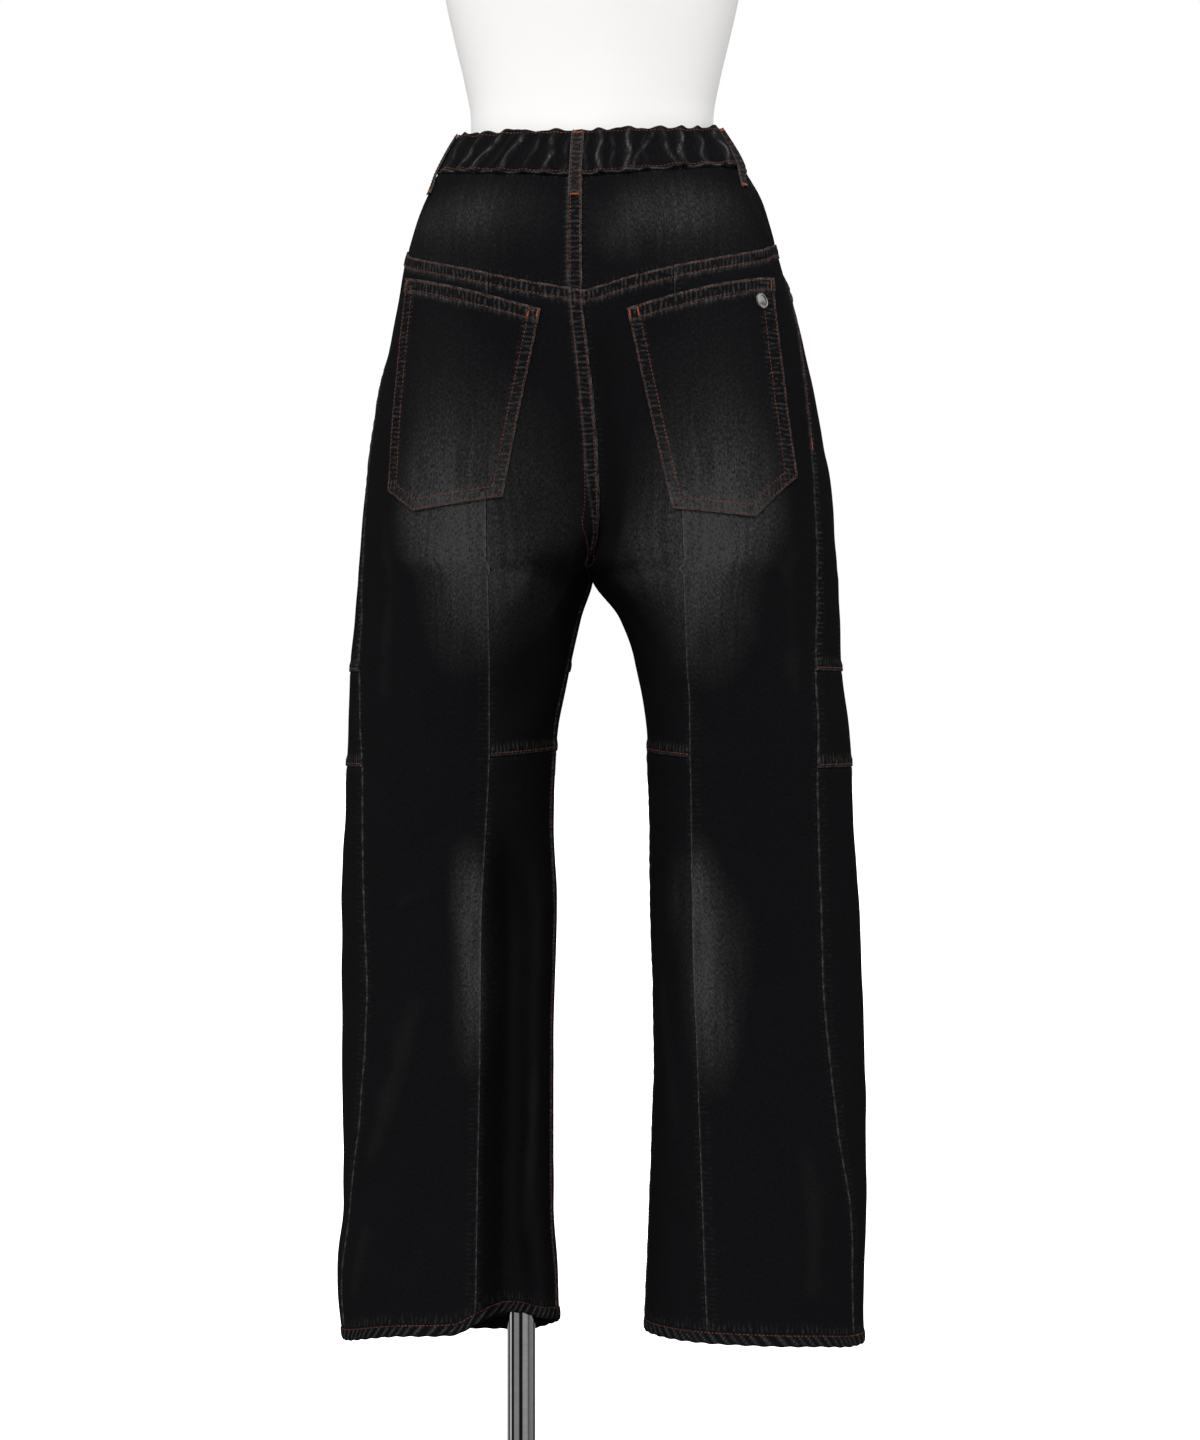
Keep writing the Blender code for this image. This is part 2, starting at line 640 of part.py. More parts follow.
def build_panels(leg):
    """All the cut pieces of one leg below the waistband."""
    def centre(z):
        return np.zeros_like(z) + gap_share(leg, z)

    def seam_inside(z):
        return centre_leg_q(leg, z) - gap_share(leg, z)

    def seam_outside(z):
        return centre_leg_q(leg, z) + gap_share(leg, z)

    def outseam_back(z):
        return 1.0 - gap_share(leg, z)

    def outseam_front(z):
        return 1.0 + gap_share(leg, z)

    def centre_front(z):
        return 2.0 - gap_share(leg, z)

    def mouth_edge(z):
        return np.maximum(mouth_q(leg, z), 1.0) + gap_share(leg, z)

    def facing_edge(z):
        return mouth_q(leg, z) - 2.0 * gap_share(leg, z)

    panel(f"yoke_{leg}", leg, ROW_YOKE, ROW_WAIST, centre, outseam_back, YOKE_COLUMNS)
    panel(f"back_outer_{leg}", leg, 0, ROW_YOKE, seam_outside, outseam_back, OUTER_COLUMNS)
    panel(f"back_inner_upper_{leg}", leg, ROW_KNEE, ROW_YOKE, centre, seam_inside, INNER_COLUMNS)
    panel(f"back_inner_lower_{leg}", leg, 0, ROW_KNEE, centre, seam_inside, INNER_COLUMNS)
    panel(f"front_upper_{leg}", leg, ROW_KNEE_TOP, ROW_WAIST, mouth_edge, centre_front, FRONT_COLUMNS)
    panel(f"front_knee_{leg}", leg, ROW_KNEE, ROW_KNEE_TOP, outseam_front, centre_front, FRONT_COLUMNS)
    panel(f"front_lower_{leg}", leg, 0, ROW_KNEE, outseam_front, centre_front, FRONT_COLUMNS)
    panel(f"pocket_facing_{leg}", leg, ROW_MOUTH + 1, ROW_WAIST, outseam_front, facing_edge,
          FACING_COLUMNS)


def build_hem(leg):
    """The turned-up hem: a ring a little thicker than the cloth."""
    seam = centre_leg_q(leg, np.array([hem_edge(leg, 0.45)]))[0]
    q = np.concatenate((
        np.linspace(0.0, seam, INNER_COLUMNS + 1)[:-1],
        np.linspace(seam, 1.0, OUTER_COLUMNS + 1)[:-1],
        np.linspace(1.0, 2.0, FRONT_COLUMNS + 1)[:-1],
    ))
    low = hem_edge(leg, q)
    z = np.stack((low, low + HEM_HEIGHT))
    q = np.tile(q, (2, 1))
    outer = skin(leg, q, z, HEM_PROUD)
    inner = skin(leg, q, z, HEM_PROUD - HEM_WALL)
    return wall(f"hem_{leg}", outer, inner, DENIM, ring=True)


def band_points(leg, q, share, lift, gathered):
    """Points of the waistband, share 0 at the waist seam to 1 at its top."""
    low = along(WAIST_SEAM, "z", q) + 0.5 * SEAM_GAP
    high = along(WAIST_TOP, "z", q)
    z = low + (high - low) * share
    if not gathered:
        return skin(leg, q, z, lift)
    x = skin_point(leg, q, z)[..., 0]
    return skin(leg, q, z, lift + gather_height(x, z, low, high))


def build_waistband():
    """The gathered back band from side to side, and two plain front bands."""
    half = np.linspace(0.0, 1.0, BAND_COLUMNS + 1)
    end = gap_share("left", np.array([BAND_MIDDLE_Z]))[0]
    way = {"left": half[::-1] * (1 - end), "right": half[1:] * (1 - end)}
    share = np.linspace(0.0, 1.0, BAND_ROWS + 1)[:, None]
    grids = []
    for lift in (0.0, -BAND_WALL):
        sides = [band_points(leg, way[leg] + 0.0 * share, share, lift, True) for leg in ("left", "right")]
        grids.append(np.concatenate(sides, axis=1))
    wall("waistband_back", grids[0], grids[1], DENIM)
    share = np.linspace(0.0, 1.0, BAND_FRONT_ROWS + 1)[:, None]
    for leg in ("left", "right"):
        q = np.linspace(1.0 + end, 2.0 - end, BAND_FRONT_COLUMNS + 1) + 0.0 * share
        outer = band_points(leg, q, share, 0.0, False)
        inner = band_points(leg, q, share, -BAND_WALL, False)
        wall(f"waistband_front_{leg}", outer, inner, DENIM)


def build_loop(name, leg, top, foot, gathered):
    """A belt loop: a narrow strip over the band, sewn down above and below it."""
    rows = np.linspace(0.0, 1.0, LOOP_ROWS + 1)
    high = along(WAIST_TOP, "z", top) - LOOP_BELOW_TOP
    low = along(WAIST_SEAM, "z", foot) - LOOP_BELOW_SEAM
    z = high + (low - high) * rows
    middle = top + (foot - top) * rows
    ahead = skin_point(leg, middle + SLOPE_STEP_ROUND, z)
    behind = skin_point(leg, middle - SLOPE_STEP_ROUND, z)
    round_per_metre = 2.0 * SLOPE_STEP_ROUND / np.linalg.norm(ahead - behind, axis=-1)
    across = np.array([-0.5, 0.0, 0.5]) * LOOP_WIDTH
    way = middle[:, None] + across * round_per_metre[:, None]
    bulge = PATCH_LIFT + LOOP_BULGE * np.sin(math.pi * rows)
    if gathered:
        seam = along(WAIST_SEAM, "z", foot)
        reach = skin_point(leg, middle, z)[:, 0:1] + LOOP_GATHER_REACH * across
        lifts = gather_height(reach, z[:, None], seam, high)
        bulge = bulge + np.max(lifts, axis=1) * ease((z - seam) / LOOP_BELOW_SEAM + 1.0)
    outer = skin(leg, way, z[:, None], (bulge + LOOP_WALL)[:, None])
    inner = skin(leg, way, z[:, None], bulge[:, None])
    return wall(name, outer, inner, DENIM)


def pocket_place(leg, across, down):
    """x and z of a back pocket's point, across from its inner edge and down from its top."""
    corner = {key: np.array(value) for key, value in POCKET_CORNERS[leg].items()}
    top = corner["top_inner"] * (1 - across) + corner["top_outer"] * across
    if across < POCKET_POINT_SHARE:
        share = across / POCKET_POINT_SHARE
        foot = corner["low_inner"] * (1 - share) + corner["point"] * share
    else:
        share = (across - POCKET_POINT_SHARE) / (1 - POCKET_POINT_SHARE)
        foot = corner["point"] * (1 - share) + corner["low_outer"] * share
    return top * (1 - down) + foot * down


def build_pocket(leg):
    """A five-sided patch pocket that lies on the back panels."""
    turn = POCKET_CROWDING * np.linspace(0.0, 1.0, POCKET_COLUMNS + 1)
    shares = sorted({*(np.sin(turn) / math.sin(POCKET_CROWDING)), POCKET_POINT_SHARE})
    downs = np.linspace(0.0, 1.0, POCKET_ROWS + 1)
    place = np.array([[pocket_place(leg, across, down) for across in shares] for down in downs])
    q = q_at(leg, "back", place[..., 0], place[..., 1])
    inner = skin(leg, q, place[..., 1], PATCH_LIFT)
    outer = skin(leg, q, place[..., 1], PATCH_LIFT + PATCH_WALL)
    return wall(f"back_pocket_{leg}", outer, inner, DENIM)


def turned(name, profile, sides, finish):
    """A solid turned about Z from an outline of radius and height, foot first."""
    angles = np.linspace(0.0, 2.0 * math.pi, sides, endpoint=False)
    points = [(radius * math.cos(a), radius * math.sin(a), height)
              for radius, height in profile for a in angles]
    faces = [tuple(range(sides))]
    for ring in range(len(profile) - 1):
        for side in range(sides):
            after = (side + 1) % sides
            faces.append((ring * sides + side, ring * sides + after,
                          (ring + 1) * sides + after, (ring + 1) * sides + side))
    top = (len(profile) - 1) * sides
    faces.append(tuple(range(top, top + sides)))
    return finish_object(name, mesh_from(name, points, faces), finish)


def stud(name, leg, q, z, radius, height, lift, sides):
    """A domed stud seated on the cloth, facing along the skin's normal."""
    seat = skin(leg, q, z, lift)
    normal = skin(leg, q, z, lift + height) - seat
    profile = [(radius * wide, height * high) for wide, high in STUD_PROFILE]
    made = turned(name, profile, sides, SILVER)
    made.rotation_mode = "QUATERNION"
    made.rotation_quaternion = Vector(tuple(normal)).to_track_quat("Z", "Y")
    made.location = tuple(seat)
    return made


def build_fly():
    """The front placket, on the wearer's left of the centre front."""
    columns = FLY_WIDTH * np.linspace(0.0, 1.0, FLY_COLUMNS + 1)
    downs = np.linspace(0.0, 1.0, FLY_ROWS + 1)[:, None]
    top = along(WAIST_SEAM, "z", FLY_Q) - FLY_BELOW_SEAM
    narrowing = ease((downs - FLY_STRAIGHT_SHARE) / (1.0 - FLY_STRAIGHT_SHARE))
    x = FLY_INSET + columns * (1.0 - FLY_NARROWING * narrowing)
    z = top - FLY_LENGTH * downs + 0.0 * columns
    q = q_at("left", "front", x, z)
    outer = skin("left", q, z, PATCH_LIFT + PATCH_WALL)
    inner = skin("left", q, z, PATCH_LIFT)
    return wall("fly", outer, inner, DENIM)


def build_hardware():
    """Studs, rivets and the waist button."""
    pocket_stud_q = q_at("right", "back", STUD_X, STUD_Z)
    stud("back_pocket_stud", "right", pocket_stud_q, STUD_Z, STUD_RADIUS, STUD_HEIGHT,
         PATCH_LIFT + PATCH_WALL + STUD_LIFT, STUD_SIDES)
    for leg in ("left", "right"):
        mouth_foot = level_heights(leg, np.ones(1))[ROW_MOUTH][0]
        stud(f"rivet_side_{leg}", leg, SIDE_RIVET_Q, mouth_foot - SIDE_RIVET_DROP,
             RIVET_RADIUS, RIVET_HEIGHT, SIDE_RIVET_LIFT, RIVET_SIDES)
        mouth_head = along(WAIST_SEAM, "z", 1.0 + MOUTH_SHARE)
        stud(f"rivet_waist_{leg}", leg, WAIST_RIVET_Q, mouth_head - WAIST_RIVET_DROP,
             RIVET_RADIUS, RIVET_HEIGHT, METAL_LIFT, RIVET_SIDES)
    button_z = 0.5 * (along(WAIST_SEAM, "z", FLY_Q) + along(WAIST_TOP, "z", FLY_Q))
    stud("waist_button", "left", q_at("left", "front", BUTTON_X, button_z), button_z,
         BUTTON_RADIUS, BUTTON_HEIGHT, METAL_LIFT, BUTTON_SIDES)


def build_form():
    """The torso form, with a socket in its underside for the pole."""
    angles = np.linspace(0.0, 2.0 * math.pi, FORM_SIDES, endpoint=False)
    levels = FORM_SECTIONS[1:]
    points = [(half_width * math.cos(angle), half_depth * math.sin(angle), z)
              for z, half_width, half_depth in levels for angle in angles]
    faces = [tuple(range(FORM_SIDES))]
    for ring in range(len(levels) - 1):
        for side in range(FORM_SIDES):
            after = (side + 1) % FORM_SIDES
            faces.append((ring * FORM_SIDES + side, ring * FORM_SIDES + after,
                          (ring + 1) * FORM_SIDES + after, (ring + 1) * FORM_SIDES + side))
    top = (len(levels) - 1) * FORM_SIDES
    faces.append(tuple(range(top, top + FORM_SIDES)))
    form = finish_object("dress_form", mesh_from("dress_form", points, faces), WHITE)
    socket_low = levels[0][0] - SOCKET_OVERRUN
    socket_high = POLE_TOP_Z + SOCKET_CLEARANCE
    radius = POLE_RADIUS + SOCKET_CLEARANCE
    cutter = turned("socket_cutter", ((radius, socket_low), (radius, socket_high)), POLE_SIDES, WHITE)
    cutter.location = (POLE_X, POLE_Y, 0.0)
    cutter.hide_render = True
    cutter.display_type = "WIRE"
    cut = form.modifiers.new("pole socket", "BOOLEAN")
    cut.operation = "DIFFERENCE"
    cut.object = cutter


def build_stand():
    """The base plate, the collar on it and the pole in the collar."""
    outline = (
        (BASE_RADIUS - BASE_BEVEL, 0.0),
        (BASE_RADIUS, BASE_BEVEL),
        (BASE_RADIUS, BASE_THICKNESS - BASE_BEVEL),
        (BASE_RADIUS - BASE_BEVEL, BASE_THICKNESS),
    )
    turned("base_plate", outline, BASE_SIDES, STEEL)
    collar_low = BASE_THICKNESS + SEAM_GAP
    pole = turned("pole", ((POLE_RADIUS, collar_low), (POLE_RADIUS, POLE_TOP_Z)), POLE_SIDES, CHROME)
    pole.location = (POLE_X, POLE_Y, 0.0)
    bore = POLE_RADIUS + SEAM_GAP
    angles = np.linspace(0.0, 2.0 * math.pi, POLE_SIDES, endpoint=False)
    ring = np.stack((np.cos(angles), np.sin(angles), np.zeros_like(angles)), axis=-1)
    levels = [(wide, (0, 0, collar_low + COLLAR_HEIGHT * share)) for wide, share in COLLAR_PROFILE]
    outer = np.array([ring * COLLAR_RADIUS * wide + height for wide, height in levels])
    inner = np.array([ring * bore + height for _, height in levels])
    collar = wall("pole_collar", outer, inner, CHROME, ring=True)
    collar.location = (POLE_X, POLE_Y, 0.0)


def main():
    """Clear the scene and build every piece."""
    for old in list(bpy.data.objects):
        bpy.data.objects.remove(old, do_unlink=True)
    for leg in ("left", "right"):
        build_panels(leg)
        build_hem(leg)
        build_pocket(leg)
    build_waistband()
    for loop in LOOPS[1:]:
        build_loop(*loop)
    build_fly()
    build_hardware()
    build_form()
    build_stand()


main()
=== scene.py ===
"""Wide-leg jeans in faded black denim on a white torso form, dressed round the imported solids.

Metres, +Z up. The garment's front faces -Y and the wearer's left is +X. Each leg's cloth is one skin,
read at the way round, q (0 at the centre back or inseam, 1 at the outseam, 2 at the centre front or
inseam), and at the height z. Every cut piece is a shell on its stretch of that skin. Its sewn edges
lift, pucker and wear it, and the stitches are sewn on the finished cloth.
"""

import math

import bmesh
import bpy
import numpy as np
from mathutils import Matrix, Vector
from mathutils.bvhtree import BVHTree


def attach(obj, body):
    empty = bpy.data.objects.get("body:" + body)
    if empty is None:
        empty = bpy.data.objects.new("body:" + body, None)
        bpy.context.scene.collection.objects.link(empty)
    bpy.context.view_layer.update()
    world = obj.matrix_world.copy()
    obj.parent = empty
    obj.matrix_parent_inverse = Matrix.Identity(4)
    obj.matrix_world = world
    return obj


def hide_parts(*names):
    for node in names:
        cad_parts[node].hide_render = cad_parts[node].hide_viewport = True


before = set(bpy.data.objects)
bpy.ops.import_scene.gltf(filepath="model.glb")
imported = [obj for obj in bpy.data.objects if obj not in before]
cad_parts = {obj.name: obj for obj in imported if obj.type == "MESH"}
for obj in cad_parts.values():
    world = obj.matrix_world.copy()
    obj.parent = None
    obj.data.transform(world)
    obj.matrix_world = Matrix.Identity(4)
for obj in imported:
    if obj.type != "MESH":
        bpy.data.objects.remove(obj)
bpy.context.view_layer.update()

# Cloth
DENIM_WALL = 0.0022
BAND_WALL = 0.0032
HEM_WALL = 0.0034
HEM_HEIGHT = 0.011
HEM_PROUD = 0.0006
PATCH_WALL = 0.0018
PATCH_LIFT = 0.0008
SEAM_GAP = 0.0003

# The sign of x on each leg's side
OUTWARD = {"left": 1.0, "right": -1.0}

# Heights that the whole garment shares
CROTCH_Z = 0.830
KNEE_TOP_Z = 0.745
JOIN_HEIGHT = 0.100

# Sections of the skin, hem to waist: the y of the back's and the front's crowns, and for each leg, in its
# own outward direction, the outermost x, the inseam's x (0 above the crotch) and the crowns' x
SECTIONS = (
    ("z", "back", "front", "out_left", "inner_left", "crown_left", "out_right", "inner_right", "crown_right"),
    (0.145, 0.0800, -0.0730, 0.2215, 0.0290, 0.104, 0.2390, 0.0460, 0.140),
    (0.210, 0.0810, -0.0735, 0.2280, 0.0310, 0.104, 0.2390, 0.0490, 0.140),
    (0.280, 0.0820, -0.0740, 0.2220, 0.0350, 0.104, 0.2415, 0.0520, 0.140),
    (0.420, 0.0860, -0.0760, 0.2230, 0.0350, 0.106, 0.2395, 0.0560, 0.140),
    (0.540, 0.0915, -0.0800, 0.2235, 0.0320, 0.112, 0.2350, 0.0530, 0.138),
    (0.615, 0.0970, -0.0850, 0.2200, 0.0350, 0.118, 0.2300, 0.0520, 0.136),
    (0.685, 0.1035, -0.0900, 0.2170, 0.0320, 0.118, 0.2270, 0.0500, 0.132),
    (0.755, 0.1100, -0.0965, 0.2140, 0.0190, 0.113, 0.2190, 0.0390, 0.124),
    (0.791, 0.1140, -0.0995, 0.2100, 0.0110, 0.108, 0.2180, 0.0260, 0.118),
    (0.830, 0.1185, -0.1025, 0.2070, 0.0000, 0.102, 0.2160, 0.0000, 0.110),
    (0.896, 0.1250, -0.1060, 0.2010, 0.0000, 0.094, 0.2100, 0.0000, 0.100),
    (0.967, 0.1290, -0.1080, 0.1915, 0.0000, 0.088, 0.1995, 0.0000, 0.092),
    (1.037, 0.1275, -0.1075, 0.1765, 0.0000, 0.080, 0.1845, 0.0000, 0.082),
    (1.107, 0.1190, -0.1030, 0.1635, 0.0000, 0.064, 0.1655, 0.0000, 0.066),
    (1.153, 0.1070, -0.0985, 0.1500, 0.0000, 0.048, 0.1520, 0.0000, 0.050),
    (1.185, 0.0960, -0.0940, 0.1355, 0.0000, 0.035, 0.1350, 0.0000, 0.035),
    (1.206, 0.0872, -0.0900, 0.1245, 0.0000, 0.025, 0.1205, 0.0000, 0.025),
    (1.225, 0.0850, -0.0870, 0.1115, 0.0000, 0.020, 0.1065, 0.0000, 0.020),
)

# The centre seams: a rise curve at the back and at the front that meet at the crotch point
CENTRE_SEAMS = (
    ("z", "back", "front"),
    (0.145, 0.0000, 0.0000),
    (0.830, 0.0000, 0.0000),
    (0.836, 0.0420, -0.0300),
    (0.845, 0.0680, -0.0510),
    (0.858, 0.0880, -0.0690),
    (0.875, 0.1030, -0.0830),
    (0.896, 0.1120, -0.0930),
    (0.925, 0.1180, -0.1000),
    (0.967, 0.1215, -0.1050),
    (1.037, 0.1215, -0.1060),
    (1.107, 0.1150, -0.1020),
    (1.185, 0.0950, -0.0940),
    (1.206, 0.0872, -0.0900),
    (1.225, 0.0850, -0.0870),
)

# How far the centre back seam leans off the middle, wearer's left positive, as the garment hangs
SEAM_LEAN = (
    ("z", "x"),
    (0.145, 0.0000),
    (0.830, 0.0000),
    (0.848, -0.0120),
    (0.864, -0.0190),
    (0.888, -0.0215),
    (0.931, -0.0210),
    (0.973, -0.0180),
    (1.015, -0.0140),
    (1.057, -0.0095),
    (1.100, -0.0080),
    (1.166, -0.0065),
    (1.225, -0.0060),
)
LEAN_REACH = 0.055

# How far the outseam has turned round to the back from the side, in degrees
OUTSEAM_TURN = (
    ("z", "turn"),
    (0.145, 20.0),
    (0.280, 28.0),
    (0.350, 38.0),
    (0.480, 46.0),
    (0.620, 44.0),
    (0.750, 36.0),
    (0.850, 28.0),
    (0.990, 18.0),
    (1.060, 6.0),
    (1.225, 2.0),
)

# The seam down the middle of each leg's back, in the leg's own outward direction
CENTRE_LEG_SEAM = (
    ("z", "left", "right"),
    (0.145, 0.0900, 0.1110),
    (0.300, 0.0877, 0.1050),
    (0.400, 0.0855, 0.1018),
    (0.520, 0.0840, 0.0980),
    (0.680, 0.0758, 0.0970),
    (0.800, 0.0735, 0.0946),
    (0.900, 0.0731, 0.0937),
    (1.070, 0.0711, 0.0872),
    (1.130, 0.0711, 0.0872),
)

# Seam and edge heights round the garment
HEM_EDGE = {
    "left": (
        ("q", "z"),
        (0.00, 0.176), (0.25, 0.182), (0.40, 0.184), (0.52, 0.172), (0.70, 0.168),
        (1.00, 0.156), (1.30, 0.151), (1.70, 0.152), (1.88, 0.165), (2.00, 0.176),
    ),
    "right": (
        ("q", "z"),
        (0.00, 0.170), (0.20, 0.170), (0.50, 0.170), (0.80, 0.167), (1.00, 0.162),
        (1.50, 0.158), (1.85, 0.162), (2.00, 0.170),
    ),
}
KNEE_SEAM = (
    ("q", "z"),
    (0.00, 0.677), (0.45, 0.671), (1.00, 0.662), (1.50, 0.664), (2.00, 0.677),
)
YOKE_SEAM = (
    ("q", "z"),
    (0.00, 1.066), (0.35, 1.084), (0.60, 1.096), (0.80, 1.106), (1.00, 1.116), (2.00, 1.104),
)
WAIST_SEAM = (
    ("q", "z"),
    (0.00, 1.166), (0.35, 1.170), (0.70, 1.178), (1.00, 1.184), (1.50, 1.179), (2.00, 1.170),
)
WAIST_TOP = (
    ("q", "z"),
    (0.00, 1.206), (0.50, 1.209), (1.00, 1.217), (1.50, 1.212), (2.00, 1.205),
)

# How the skin is read: the steps that give its slope, the stretch beside the centre seams where that slope
# is turned straight back or forward, and the heights and samples of its table of girths
SLOPE_STEP_ROUND = 0.004
SLOPE_STEP_UP = 0.0008
CENTRE_TURN_Q = 0.05
CENTRE_TURN_RISE = 0.010
GIRTH_LOW = 0.14
GIRTH_HIGH = 1.23
GIRTH_ROWS = 60
GIRTH_SAMPLES = 181
LADDER_TOP = 1.125
LADDER_STEPS = 120

# The left leg's back turns inward at its centre-leg seam and hangs recessed from there to the inseam
TUCK_DEPTH = 0.046
TUCK_WIDTH = 0.016
TUCK_TOP_Z = 0.630
TUCK_FULL_Z = 0.520
TUCK_INSEAM_EASE = 0.035

# Large soft folds. Positions are x in the leg's own outward direction, and a positive depth is a ridge.
FOLDS = (
    ("leg", "face", "x_top", "x_bottom", "width", "depth", "z_top", "z_bottom"),
    ("left", "back", 0.180, 0.184, 0.014, -0.0040, 0.880, 0.600),
    ("left", "back", 0.022, 0.052, 0.014, -0.0060, 0.850, 0.690),
    ("left", "back", 0.135, 0.165, 0.020, 0.0030, 0.560, 0.200),
    ("right", "back", 0.022, 0.036, 0.014, -0.0070, 1.050, 0.770),
    ("right", "back", 0.172, 0.186, 0.014, -0.0040, 0.860, 0.740),
    ("right", "back", 0.076, 0.062, 0.012, -0.0050, 0.600, 0.380),
    ("right", "back", 0.165, 0.185, 0.018, -0.0030, 0.540, 0.230),
    ("left", "front", 0.060, 0.090, 0.018, -0.0050, 0.900, 0.700),
    ("left", "front", 0.150, 0.130, 0.018, 0.0040, 0.640, 0.300),
    ("right", "front", 0.060, 0.095, 0.018, -0.0050, 0.900, 0.720),
    ("right", "front", 0.160, 0.140, 0.018, 0.0040, 0.620, 0.280),
)
FOLD_END_SHARE = 0.22
FOLD_SEAM_EASE = 0.012

# Gathers of the elasticated back band: x at the band's top and bottom (wearer's left positive) and height
GATHERS = (
    ("x_top", "x_bottom", "height"),
    (0.100, 0.118, 0.0022),
    (0.082, 0.104, 0.0026),
    (0.061, 0.091, 0.0034),
    (0.051, 0.078, 0.0018),
    (0.043, 0.066, 0.0032),
    (0.030, 0.044, 0.0020),
    (0.018, 0.026, 0.0030),
    (0.006, 0.010, 0.0020),
    (-0.008, -0.008, 0.0022),
    (-0.020, -0.021, 0.0032),
    (-0.031, -0.032, 0.0020),
    (-0.044, -0.045, 0.0034),
    (-0.055, -0.060, 0.0018),
    (-0.066, -0.048, 0.0024),
    (-0.068, -0.084, 0.0026),
    (-0.083, -0.090, 0.0034),
    (-0.096, -0.108, 0.0024),
    (-0.107, -0.126, 0.0030),
)
GATHER_WIDTH = 0.0052
GATHER_RUN_BELOW = 0.4
GATHER_RUN_ABOVE = 0.1

# Back pockets: corners as x (the leg's own outward direction) and z
POCKET_CORNERS = {
    "left": {
        "top_inner": (0.026, 1.050), "top_outer": (0.150, 1.084),
        "low_outer": (0.162, 0.899), "point": (0.137, 0.881), "low_inner": (0.059, 0.892),
    },
    "right": {
        "top_inner": (0.048, 1.049), "top_outer": (0.163, 1.081),
        "low_outer": (0.186, 0.909), "point": (0.154, 0.874), "low_inner": (0.086, 0.881),
    },
}
POCKET_POINT_SHARE = 0.72
STUD_RADIUS = 0.0075
STUD_HEIGHT = 0.0022
STUD_X = 0.155
STUD_Z = 1.058

# Belt loops: the way round of each loop's middle at its top and its foot
LOOPS = (
    ("name", "leg", "top", "foot", "gathered"),
    ("belt_loop_centre", "left", 0.030, 0.030, True),
    ("belt_loop_back_left", "left", 0.880, 0.800, True),
    ("belt_loop_back_right", "right", 0.930, 0.810, True),
    ("belt_loop_front_left", "left", 1.650, 1.610, False),
    ("belt_loop_front_right", "right", 1.650, 1.610, False),
)
LOOP_WIDTH = 0.011
LOOP_WALL = 0.0018
LOOP_BELOW_SEAM = 0.019
LOOP_BELOW_TOP = 0.001
LOOP_GATHER_REACH = 1.3

# Front pocket mouth and fly
MOUTH_SHARE = 0.40
MOUTH_CURVE = 0.60
FLY_Q = 1.9
FLY_WIDTH = 0.036
FLY_LENGTH = 0.150
FLY_INSET = 0.0012
FLY_BELOW_SEAM = 0.002
FLY_STRAIGHT_SHARE = 0.6
FLY_NARROWING = 0.8

# Rivets and button
RIVET_RADIUS = 0.0046
RIVET_HEIGHT = 0.0016
SIDE_RIVET_Q = 1.05
SIDE_RIVET_DROP = 0.004
WAIST_RIVET_Q = 1.45
WAIST_RIVET_DROP = 0.008
BUTTON_RADIUS = 0.0085
BUTTON_HEIGHT = 0.0030
BUTTON_X = 0.014

# Torso form: an ellipse at each height
FORM_SECTIONS = (
    ("z", "half_width", "half_depth"),
    (0.8560, 0.0300, 0.0200),
    (0.8580, 0.0600, 0.0400),
    (0.8650, 0.0920, 0.0600),
    (0.8800, 0.1180, 0.0740),
    (0.9050, 0.1400, 0.0860),
    (0.9400, 0.1540, 0.0940),
    (0.9900, 0.1580, 0.0980),
    (1.0600, 0.1500, 0.0975),
    (1.1200, 0.1320, 0.0930),
    (1.1700, 0.1160, 0.0870),
    (1.2060, 0.1075, 0.0841),
    (1.2300, 0.1070, 0.0830),
    (1.2600, 0.1120, 0.0835),
    (1.3000, 0.1215, 0.0860),
    (1.3380, 0.1300, 0.0890),
    (1.3900, 0.1380, 0.0920),
    (1.4200, 0.1370, 0.0915),
    (1.4330, 0.1260, 0.0840),
    (1.4400, 0.1000, 0.0660),
    (1.4430, 0.0500, 0.0330),
)

# Pole, collar and base plate
POLE_X = 0.0660
POLE_Y = -0.0180
POLE_RADIUS = 0.0125
POLE_TOP_Z = 0.950
SOCKET_CLEARANCE = 0.0004
SOCKET_OVERRUN = 0.02
BASE_RADIUS = 0.180
BASE_THICKNESS = 0.006
COLLAR_RADIUS = 0.026
COLLAR_HEIGHT = 0.022

# How finely the cloth is made: the steps across and up, the marks beside a sewn edge and how far they may
# reach across a narrow piece, and how a panel's lines are settled
STEP_ROUND = 0.0042
STEP_UP = 0.0050
EDGE_MARKS = (
    0.0, 0.0005, 0.0012, 0.0020, 0.0034, 0.0052, 0.0072, 0.0092, 0.0104, 0.0112, 0.0121, 0.0140, 0.0170,
)
MARKS_REACH = 0.42
HALF_GAP = 0.00008
PANEL_PASSES = 5
WIDTH_SAMPLES = 25
GUESS_ROWS = 20
TALL_SAMPLES = 21
MIDDLE_Z = 0.9

# The angles above which a piece's edges stay sharp
CLOTH_SHARP_DEGREES = 50.0
SOLID_SHARP_DEGREES = 35.0

# A ripple's waves: how many, how their paces and starts are drawn, and its level
RIPPLE_WAVES = 9
RIPPLE_PACES = (0.6, 1.5)
RIPPLE_STARTS = 6.3
RIPPLE_LEVEL = 0.9

